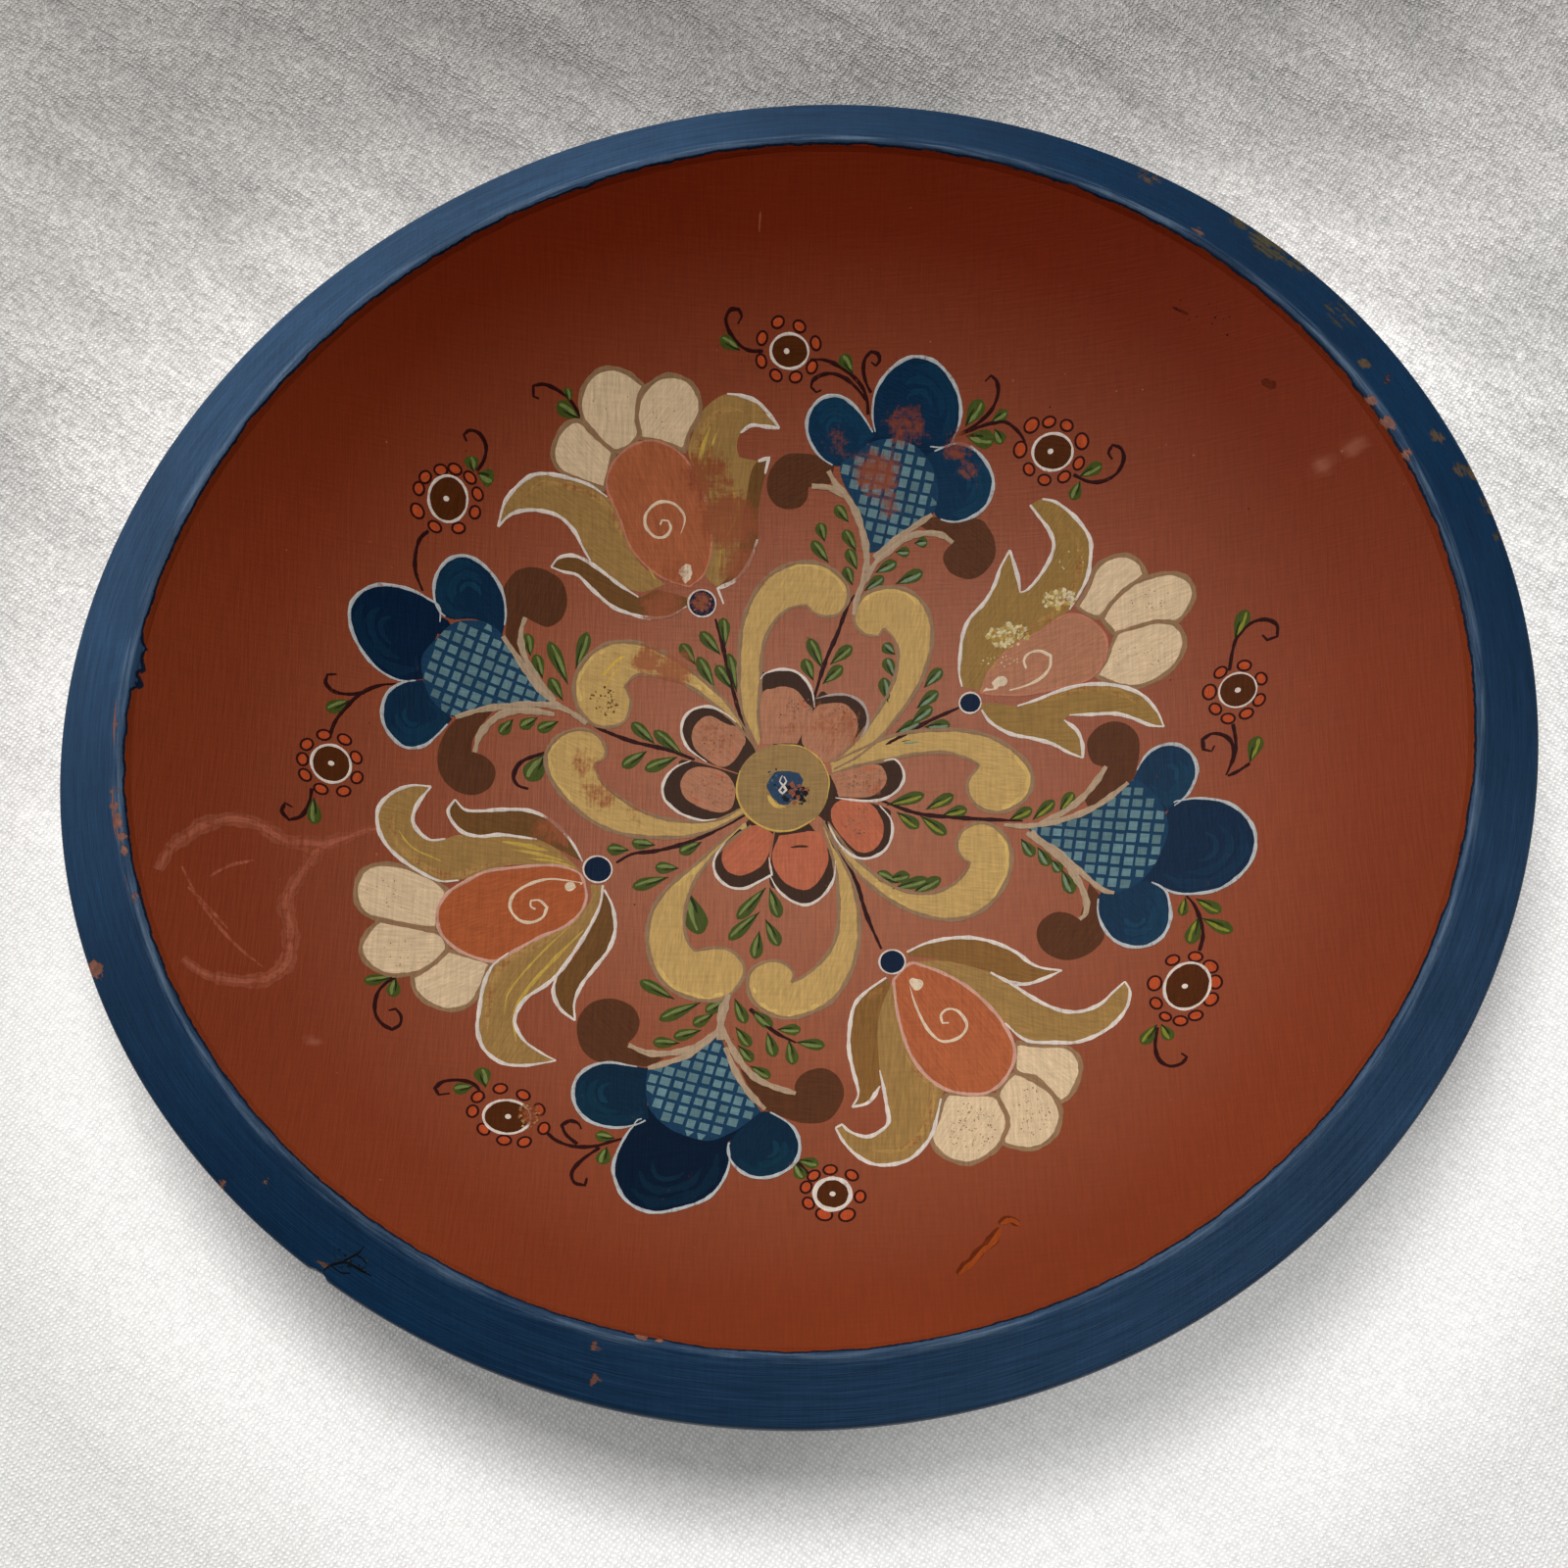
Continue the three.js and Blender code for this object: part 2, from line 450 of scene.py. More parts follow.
def brushed_ground(n):
    """The red ground's colour, its fine crossing brush lines and its slow clouds, with the middle painted
    paler as painted light and the far wall darker as painted shade.
    """
    place = n.attribute("plan", "Vector")
    across = n.noise(n.stretched(place, (130, 1500, 1)), 1, 2, 0.6)
    along = n.noise(n.stretched(place, (1700, 110, 1)), 1, 2, 0.6)
    lines = n.plus(n.times(across, 0.35), n.times(along, 0.65))
    clouds = n.noise(place, 14, 4, 0.6)
    # Painted light: the ground is painted paler towards the middle, for the floor being lit more than the
    # walls
    lit_middle = n.ranged(n.plus(n.length(place), n.times(clouds, 0.02)), 0.135, 0.02)
    # Painted shade: the red darkens towards the far wall, away from the camera
    deep = n.ranged(n.split(place)["Y"], 0.02, 0.12)
    contrast = n.times(n.ranged(lines, 0.34, 0.66, -1, 1), n.ranged(lit_middle, 0, 1, 0.08, 0.18))
    tone = n.times(n.plus(contrast, 1.0), n.swing(clouds, 0.93, 1.07))
    painted = n.toned(n.mixed(lit_middle, n.mixed(deep, GROUND_RED, GROUND_FAR_SHADE), GROUND_LIT_MIDDLE), tone)
    return painted, lines, clouds


def ornament_paint():
    """Hand-laid paint: brush streaks along each stroke, and places worn through to the ground, which shows
    with its painted light and shade.
    """
    material, tree, shader = principled("ornament_paint")
    n = Nodes(tree)
    ground, lines, _ = brushed_ground(n)
    place = n.position()
    streaks = n.noise(n.stretched(n.attribute("brush", "Vector"), (0.25, 2.2, 1)), 1, 4, 0.6)
    tone = n.times(n.swing(streaks, 0.84, 1.14), n.ranged(lines, 0.34, 0.66, 0.86, 1.14))
    painted = n.toned(n.attribute("paint"), tone)
    flakes = n.noise(n.stretched(place, (1, 1, 0.2)), 1000, 4, 0.7)
    patches = n.noise(place, 300, 3, 0.6)
    rub = n.plus(n.times(flakes, 0.35), n.times(patches, 0.35))
    rub = n.plus(rub, n.times(lines, 0.3))
    worn = n.ranged(n.minus(n.attribute("wear", "Fac"), rub), -0.03, 0.11, 0.0, 0.88)
    n.link(n.mixed(worn, painted, ground), shader.inputs["Base Color"])
    n.link(n.swing(streaks, 0.38, 0.46), shader.inputs["Roughness"])
    shader.inputs["Specular IOR Level"].default_value = 0.06
    relief = n.plus(n.times(streaks, 0.5), lines)
    n.bump(n.minus(relief, n.times(worn, 0.4)), 0.00014, shader.inputs["Normal"])
    return material


def ground_paint():
    """The red ground of the hollow: brushed both ways, painted paler in the middle as painted light and
    darker towards the far wall as painted shade, navy at the lip.
    """
    material, tree, shader = principled("red_ground_paint")
    n = Nodes(tree)
    painted, lines, clouds = brushed_ground(n)
    place = n.attribute("plan", "Vector")
    specks = n.ranged(n.noise(place, 420, 2), 0.76, 0.8)
    speckled = n.mixed(specks, painted, GROUND_SPECK)
    scuffed = n.mixed(n.attribute("scuff", "Fac"), speckled, GROUND_SCUFF)
    ragged = n.minus(n.attribute("navy", "Fac"), n.noise(place, 240, 4, 0.7))
    n.link(n.mixed(n.ranged(ragged, 0, 0.03), scuffed, NAVY_BAND), shader.inputs["Base Color"])
    n.link(n.swing(clouds, 0.38, 0.44), shader.inputs["Roughness"])
    shader.inputs["Specular IOR Level"].default_value = 0.17
    n.bump(lines, 0.0002, shader.inputs["Normal"])
    return material


def rim_paint():
    """The blue coat, brushed round the bowl and worn bare in places, with a painted sheen over two opposite
    quarters and a paler lip that is partly worn and partly a painted highlight, and with the red ground below
    its lip.
    """
    material, tree, shader = principled("blue_coat_paint")
    n = Nodes(tree)
    ground, lines, _ = brushed_ground(n)
    brush = n.attribute("brush", "Vector")
    place = n.position()
    streaks = n.noise(brush, 1, 4, 0.6)
    fine = n.noise(n.stretched(brush, (1, 1, 2.4)), 1, 3, 0.6)
    shades = n.noise(place, 22, 4, 0.6)
    tone = n.times(n.swing(streaks, 0.82, 1.2), n.swing(shades, 0.84, 1.16))
    tone = n.times(tone, n.ranged(n.plus(fine, lines), 0.7, 1.3, 0.8, 1.2))
    below = n.plus(n.attribute("below_lip", "Fac"), n.swing(n.noise(place, 210, 4, 0.7), -0.4, 0.4))
    # Along the lip's crest the blue turns paler: partly rubbed wear, partly a painted highlight
    lip_wear_and_highlight = n.times(n.attribute("lip", "Fac"), n.ranged(streaks, 0.42, 0.62))
    plan = n.split(n.attribute("plan", "Vector"))
    # Painted sheen: the blue is paler in the upper-left and lower-right quarters of the rim and darker in the
    # other two, for the gloss of the brushed paint
    sheen_quarters = n.ranged(n.times(plan["X"], n.plus(plan["Y"], 0.02)), -0.0105, 0.0105, 1.0, 0.0)
    blue = n.mixed(n.times(lip_wear_and_highlight, 0.45), n.mixed(sheen_quarters, RIM_BLUE_UNSHEENED, RIM_SHEEN_BLUE), RIM_LIP_WORN_AND_LIT)
    painted = n.toned(n.mixed(n.ranged(below, 0.7, 0.9), blue, NAVY_BAND), tone)
    chips = n.noise(n.stretched(brush, (3.4, 3.4, 0.9)), 1, 4, 0.7)
    flecks = n.noise(place, 700, 3, 0.6)
    rub = n.plus(n.times(chips, 0.65), n.times(flecks, 0.35))
    worn = n.ranged(n.minus(n.attribute("wear", "Fac"), rub), 0, 0.05, 0.0, 0.9)
    bare = n.mixed(n.attribute("tint", "Fac"), CHIP_BROWN, CHIP_GREEN)
    chipped = n.mixed(worn, painted, n.toned(bare, n.ranged(flecks, 0.35, 0.65, 0.7, 1.2)))
    n.link(n.mixed(n.ranged(below, 1.45, 1.52), chipped, ground), shader.inputs["Base Color"])
    n.link(n.swing(streaks, 0.38, 0.52), shader.inputs["Roughness"])
    shader.inputs["Specular IOR Level"].default_value = 0.12
    n.bump(n.minus(n.plus(streaks, fine), worn), 0.00013, shader.inputs["Normal"])
    return material


def wood():
    """Bare turned wood: grain along the bowl's length and fine rings from the tool."""
    material, tree, shader = principled("bare_turned_wood")
    n = Nodes(tree)
    place = n.position()
    grain = n.noise(n.stretched(place, (12, 260, 260)), 1, 5, 0.6)
    figure = n.noise(n.stretched(place, (4, 40, 40)), 1, 3, 0.5)
    tone = n.times(n.swing(grain, 0.78, 1.16), n.swing(figure, 0.85, 1.12))
    n.link(n.toned(BARE_WOOD, tone), shader.inputs["Base Color"])
    rings = n.noise(n.attribute("brush", "Vector"), 1, 3, 0.6)
    n.link(n.swing(grain, 0.6, 0.75), shader.inputs["Roughness"])
    n.bump(n.plus(rings, n.times(grain, 0.6)), 0.00015, shader.inputs["Normal"])
    return material


# The bowl's three pieces, turned with fine facets

# How fine the brush lines are round the bowl, per metre, and down its profile, per millimetre
BRUSH_ROUND = 60
BRUSH_ACROSS = 1.1


def put_attribute(mesh, name, kind, values):
    """Give every point of a mesh its own value, for the materials to read."""
    attribute = mesh.attributes.new(name, kind, "POINT")
    key = {"FLOAT": "value", "FLOAT_VECTOR": "vector", "FLOAT_COLOR": "color"}[kind]
    attribute.data.foreach_set(key, np.asarray(values, np.float32).ravel())


# A small nick in the rim's outer edge: its place in the painter's plane, its size, and how far in it reaches
NICK_PLACE = (-98.2, -120.9)
NICK_DEPTH = 1.1
NICK_HALF_WIDTH = 2.4
NICK_REACH = 3


def nicked(radius, angle):
    """A turned radius with the nick in the rim's edge taken off."""
    x, y = to_bowl([NICK_PLACE])[0]
    away = angle - math.atan2(y / (1 - SHRINK_ACROSS_GRAIN), x) % (2 * math.pi)
    depth = max(0, 1 - abs(away) * RIM_RADIUS / NICK_HALF_WIDTH) * NICK_DEPTH
    if depth == 0 or radius <= RIM_RADIUS - NICK_REACH:
        return radius
    return min(radius, RIM_RADIUS + PAINT_THICKNESS - depth)


def turned_piece(name, outline, material, node):
    """A closed outline turned round the axis and dried to its oval, in place of a CAD node."""
    outline = np.array(outline)
    on_axis = outline[:, 0] < 1e-6
    angles = 2 * math.pi * np.arange(STEPS_ROUND) / STEPS_ROUND
    starts, vertices, turned = [], [], []
    lengths = np.r_[0, np.cumsum(np.linalg.norm(np.diff(outline, axis=0), axis=1))]
    for (radius, height), centred, length in zip(outline, on_axis, lengths):
        starts.append(len(vertices))
        for angle in angles[:1] if centred else angles:
            x, y = dried(nicked(radius, angle), angle)
            vertices.append((x * MM, y * MM, height * MM))
            turned.append((radius, angle, length))
    faces = []
    count = len(outline)
    for i in range(count):
        j = (i + 1) % count
        if on_axis[i] and on_axis[j]:
            continue
        for k in range(STEPS_ROUND):
            after = (k + 1) % STEPS_ROUND
            here = [starts[i]] if on_axis[i] else [starts[i] + after, starts[i] + k]
            there = [starts[j]] if on_axis[j] else [starts[j] + k, starts[j] + after]
            faces.append(here + there)
    mesh = bpy.data.meshes.new(name)
    mesh.from_pydata(vertices, [], faces)
    mesh.update()
    turned = np.array(turned)
    along_brush = np.array(vertices)[:, :2] * BRUSH_ROUND
    put_attribute(mesh, "brush", "FLOAT_VECTOR", np.c_[along_brush, turned[:, 2] * BRUSH_ACROSS])
    return finished(name, mesh, material, node), turned


def finished(name, mesh, material, node):
    """The object that shows a mesh and rides on the bowl's body."""
    mesh.materials.append(material)
    mesh.shade_smooth()
    mesh.set_sharp_from_angle(angle=SHARP_EDGE)
    piece = bpy.data.objects.new(name, mesh)
    bpy.context.scene.collection.objects.link(piece)
    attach(piece, "root")
    if node:
        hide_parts(node)
    return piece


def corner_rub(turned, radius, spread):
    """How much the paint is rubbed at a corner of the profile, from 0 far off to 1 on it."""
    return np.clip(1 - np.abs(turned[:, 0] - radius) / spread, 0, 1)


# Light scuffs on the red ground, and places where the navy of the lip dips over it: u, v and radius
SCUFFS = [(116.3, 61.6, 2.4), (122.7, 63.7, 2.4), (-103.4, -70, 1.4)]
NAVY_DIPS = [
    (-144.2, 10, 3), (-144.6, 6.5, 2.8), (-143.6, 14, 2.4), (-57, 127.5, 3), (-50, 129.8, 3),
    (-64, 124.5, 2.4),
]

# Where along the profile the back of the coat starts, how worn the rim is, and how worn at its two corners
BACK_STARTS = 30
RIM_WEAR = 0.26
CORNER_WEAR = 0.12

# How steeply marks and chips reach their full strength from the edge of their spot
MARK_STEEPNESS = 1.6
CHIP_STEEPNESS = 1.8

# Rubbed places in the blue rim: u, v, radius, how far they have gone and how green they are
RIM_CHIPS = [
    (-147, -4, 2, 0.56, 0), (-146.6, -9, 1.8, 0.54, 0), (-146.4, -19, 1.6, 0.6, 0),
    (-145.9, -22.5, 2, 0.62, 0), (-145, -26, 2.2, 0.62, 0), (-144.2, -29.5, 2, 0.62, 0),
    (-143.2, -33, 1.5, 0.6, 0), (-140, -43, 2, 0.54, 0), (-149.1, -57.1, 3.4, 0.64, 0),
    (89.6, 115, 3, 0.54, 0.4), (101.6, 121.8, 6, 0.56, 1), (104.8, 116.2, 6, 0.57, 1),
    (107.5, 112.4, 5, 0.55, 1), (113, 109.5, 5, 0.54, 1), (118.5, 107.6, 3.4, 0.62, 0.2),
    (123.4, 102.1, 3, 0.6, 0.2), (121, 96, 7, 0.5, 1), (125.4, 82.2, 2.6, 0.6, 0.8),
    (126.1, 72.3, 2.4, 0.58, 0), (129.2, 66.4, 2.8, 0.66, 0), (132.8, 59.3, 2.4, 0.64, 0),
    (140.6, 65.2, 3, 0.6, 0.8), (145.5, 57.8, 3, 0.58, 0.8), (152.3, 49.8, 4.5, 0.58, 0.9),
    (149.3, 57.4, 4, 0.58, 0.9), (154, 42, 4, 0.54, 0.9), (80, 133, 6, 0.5, 0.8),
    (-119.1, -103.1, 2, 0.6, 0), (-109.6, -102.8, 1.6, 0.58, 0.5), (-41.3, -137, 1.8, 0.62, 0),
    (-32.1, -135.2, 1.8, 0.62, 0), (-28.4, -135.6, 1.6, 0.6, 0), (-41.5, -143, 2, 0.58, 0),
    (-97, -119.8, 2.6, 0.52, 0.5), (-91.5, -119, 2.2, 0.5, 0.5), (-130, -96, 2, 0.56, 0),
]


def painter_places(turned):
    """Where turned points lie in the painter's plane."""
    x, y = dried(turned[:, 0], turned[:, 1])
    cosine, sine = math.cos(PAINTER_TURN), math.sin(PAINTER_TURN)
    return np.c_[x * cosine - y * sine, x * sine + y * cosine]


def near_spots(spots, places):
    """How near points lie to the middle of any of some spots, from 0 outside them to 1."""
    near = np.zeros(len(places))
    for u, v, radius in spots:
        near = np.maximum(near, 1 - np.hypot(places[:, 0] - u, places[:, 1] - v) / radius)
    return near


def put_plan(piece, places):
    """Give a piece's points their places in the painter's plane, for the brushed ground."""
    put_attribute(piece.data, "plan", "FLOAT_VECTOR", np.c_[places, places[:, 0] * 0] * MM)


def make_bowl():
    """The bare wood and its two coats, with what the coats' materials read from their points."""
    hollow, rim, back, foot = bowl_profiles()
    red_over = coat_over(hollow)
    blue_under = rim + back
    blue_over = coat_over(blue_under)
    blue_over[0] = red_over[-1]
    wood_outline = hollow + rim[1:] + back[1:] + foot
    turned_piece("bare_wood_bowl", wood_outline, wood(), "turned_bowl")

    red_outline = red_over + hollow[::-1]
    red, turned = turned_piece("red_hollow_coat", red_outline, ground_paint(), "red_inside_coat")
    places = painter_places(turned)
    scuffs = np.clip(near_spots(SCUFFS, places) * MARK_STEEPNESS, 0, 1)
    dips = np.clip(near_spots(NAVY_DIPS, places) * MARK_STEEPNESS, 0, 1)
    put_plan(red, places)
    put_attribute(red.data, "scuff", "FLOAT", 0.5 * scuffs)
    put_attribute(red.data, "navy", "FLOAT", 0.9 * dips)

    blue, turned = turned_piece(
        "blue_rim_and_back_coat", blue_over + blue_under[::-1], rim_paint(), "blue_outer_coat"
    )
    places = painter_places(turned)
    dips = np.clip(near_spots(NAVY_DIPS, places) * MARK_STEEPNESS, 0, 1)
    corner = LIP_CORNER_RADIUS - SHOWN_LIP_INWARD
    on_wall = turned[:, 0] < corner
    below = np.where(on_wall, (corner - turned[:, 0]) * 1.5 * (1 - 0.8 * dips), -1)
    put_plan(blue, places)
    put_attribute(blue.data, "below_lip", "FLOAT", np.where(turned[:, 2] > BACK_STARTS, -1, below))
    # The lip's crest, where the blue is partly rubbed and partly given a painted highlight
    put_attribute(blue.data, "lip", "FLOAT", corner_rub(turned, corner + 0.5, 1.6))
    corners = np.maximum(corner_rub(turned, corner + 0.4, 1.4), corner_rub(turned, RIM_RADIUS, 1.6))
    wear = RIM_WEAR + CORNER_WEAR * corners
    tint = np.full(len(places), 0.5)
    for u, v, radius, depth, green in RIM_CHIPS:
        near = np.clip(near_spots([(u, v, radius)], places) * CHIP_STEEPNESS, 0, 1)
        tint = np.where(near > 0, green, tint)
        wear = np.maximum(wear, RIM_WEAR + (depth - RIM_WEAR) * near)
    put_attribute(blue.data, "wear", "FLOAT", wear)
    put_attribute(blue.data, "tint", "FLOAT", tint)


# Strokes of the painter's brush

# How much higher each level of paint lies than the one before it, and how the brush's relief is flattened
LAYER = 0.018
RELIEF = 0.35

# How far a stroke's skin reaches into the ground, and how quickly a filled shape rises from its edge
PAINT_FOOT = 0.2
EDGE_ROUNDING = 0.5

# The points inside a filled shape: how far apart, how close the rows lie, and how near the edge they come
GRID = 1.7
GRID_ROW = 0.87
GRID_MARGIN = 0.4

# How far apart the points of a smooth line are, and from what turn on a corner stays sharp
SMOOTH_STEP = 0.8
SHARP_TURN = math.radians(62)

# How many points an oval is drawn through
OVAL_POINTS = 16


def curve_through(points, closed=False, step=SMOOTH_STEP):
    """A smooth line through points, with the corners that turn sharply kept."""
    points = np.asarray(points, float)
    count = len(points)
    if not closed and count == 2:
        steps = int(np.hypot(*(points[1] - points[0])) / step)
        return np.linspace(points[0], points[1], max(2, steps + 1))

    def turns_sharply(i):
        into = points[i] - points[(i - 1) % count]
        out = points[(i + 1) % count] - points[i]
        return abs(math.atan2(into[0] * out[1] - into[1] * out[0], into @ out)) > SHARP_TURN

    inner = range(count) if closed else range(1, count - 1)
    sharp = {i for i in inner if turns_sharply(i)} | (set() if closed else {0, count - 1})
    line = []
    for i in range(count if closed else count - 1):
        a, b = points[i], points[(i + 1) % count]
        before = a - (b - a) if i in sharp else points[(i - 1) % count]
        after = b + (b - a) if (i + 1) % count in sharp else points[(i + 2) % count]
        steps = max(1, round(np.hypot(*(b - a)) / step))
        for t in np.arange(steps) / steps:
            line.append(
                0.5 * (2 * a + (b - before) * t + (2 * before - 5 * a + 4 * b - after) * t**2
                       + (3 * a - before - 3 * b + after) * t**3)
            )
    if not closed:
        line.append(points[-1])
    return np.array(line)


def inside(ring, points):
    """Which points lie inside a closed ring."""
    x, y = points[:, 0, None], points[:, 1, None]
    ax, ay = ring.T
    bx, by = np.roll(ring, -1, 0).T
    level = np.where(by == ay, 1e-9, by - ay)
    crossed = ((ay > y) != (by > y)) & (x < (bx - ax) * (y - ay) / level + ax)
    return crossed.sum(1) % 2 == 1


def longest_run(line, held):
    """The longest unbroken stretch of a line whose points are all held."""
    starts = np.flatnonzero(held & ~np.r_[False, held[:-1]])
    runs = [line[i: i + int(np.argmin(np.r_[held[i:], False]))] for i in starts]
    return max(runs, key=len, default=line[:0])


def distance_to(ring, points):
    """How far each point lies from a closed ring."""
    a, b = ring, np.roll(ring, -1, 0)
    along = b - a
    share = ((points[:, None] - a) * along).sum(2) / np.maximum((along**2).sum(1), 1e-12)
    nearest = a + np.clip(share, 0, 1)[..., None] * along
    return np.hypot(*np.moveaxis(points[:, None] - nearest, 2, 0)).min(1)


def clear_run(line, ring, gap):
    """The longest stretch of a closed line that stays further than a gap from a ring."""
    free = (distance_to(ring, line) > gap) & ~inside(ring, line)
    if free.all():
        return line
    first = int(np.argmin(free))
    return longest_run(np.roll(line, -first, 0), np.roll(free, -first))


def drawn_in(points, share, middle=None):
    """Points drawn in towards their middle, or another one, until a share of the way is left."""
    middle = points.mean(0) if middle is None else middle
    return points * share + middle * (1 - share)


def leaned(centre, across, up, tilt):
    """Points of a tilted oval, from how far they lie along its two axes."""
    turn = math.radians(tilt)
    u = centre[0] + across * math.cos(turn) - up * math.sin(turn)
    v = centre[1] + across * math.sin(turn) + up * math.cos(turn)
    return np.stack([u, v], -1)


def oval(centre, radii, tilt=0.0):
    """A closed ring of points round an oval."""
    angles = np.arange(OVAL_POINTS) / OVAL_POINTS * 2 * math.pi
    return leaned(centre, radii[0] * np.cos(angles), radii[1] * np.sin(angles), tilt)


def grid_faces(rows, columns):
    """The four-cornered faces of a grid of points that are given row after row."""
    return [
        [j * columns + i, j * columns + i + 1, (j + 1) * columns + i + 1, (j + 1) * columns + i]
        for j in range(rows - 1) for i in range(columns - 1)
    ]


# Places where the ornament is worn or flaked: u, v, radius and how far it has gone
WORN_PLACES = [
    (17, 73, 8, 0.62), (24, 83, 7, 0.56), (36, 78, 5, 0.56), (8, 80, 5, 0.52), (38, 73, 4, 0.52),
    (20, 66, 6, 0.52), (-22, 72, 8, 0.6), (-17, 62, 10, 0.68), (-14, 52, 8, 0.62), (-30, 50, 5, 0.52),
    (-23.6, 42.7, 4, 0.6), (-33, 41, 7, 0.68), (-30, 27, 6, 0.68), (-36, 28.5, 5, 0.68), (-50, 3, 5, 0.56),
    (-46, -4, 6, 0.56), (-38, -9, 4, 0.5), (7, 13, 10, 0.52), (-3, 14, 5, 0.48),
    (60, 41.7, 2.5, 0.58), (-57, -13, 6, 0.62), (-58, -83, 4, 0.6), (-20, 10, 6, 0.5), (16, -1, 5, 0.5),
]

# The wear of sound paint, how much more a thin line has, and how steeply a worn place reaches its own
SOUND = 0.36
LINE_WEAR = 0.04
WEAR_STEEPNESS = 1.6


def wear_at(points):
    """How worn the paint is at points of the painter's plane."""
    wear = np.full(len(points), SOUND)
    for u, v, radius, depth in WORN_PLACES:
        near = 1 - np.hypot(points[:, 0] - u, points[:, 1] - v) / radius
        wear = np.maximum(wear, SOUND + (depth - SOUND) * np.clip(near * WEAR_STEEPNESS, 0, 1))
    return wear


# A small leaf from its blunt tip to its foot: shares of its length, and of its width to each side
LEAF_FULLNESS = 1.28
LEAF_SIDE = [(0.06, 0.3), (0.25, 0.58), (0.5, 0.52), (0.8, 0.24)]
LEAF_OUTLINE = [(0, 0), *LEAF_SIDE, (1, 0), *[(s, -w) for s, w in reversed(LEAF_SIDE)]]

# A pull of the brush: its cross-section, where it swells and thins, and how its width sways along it
STROKE_ACROSS = np.array([-1, -0.6, 0, 0.6, 1])
STROKE_TAPER = 0.25
STROKE_SWAYS = [(0.16, 0.9), (0.1, 2.3)]

# The baked picture of a motif: the gap between its strokes, and how small the faces out of sight are
PACKING_GAP = 0.5
HIDDEN_SHARE = 0.004


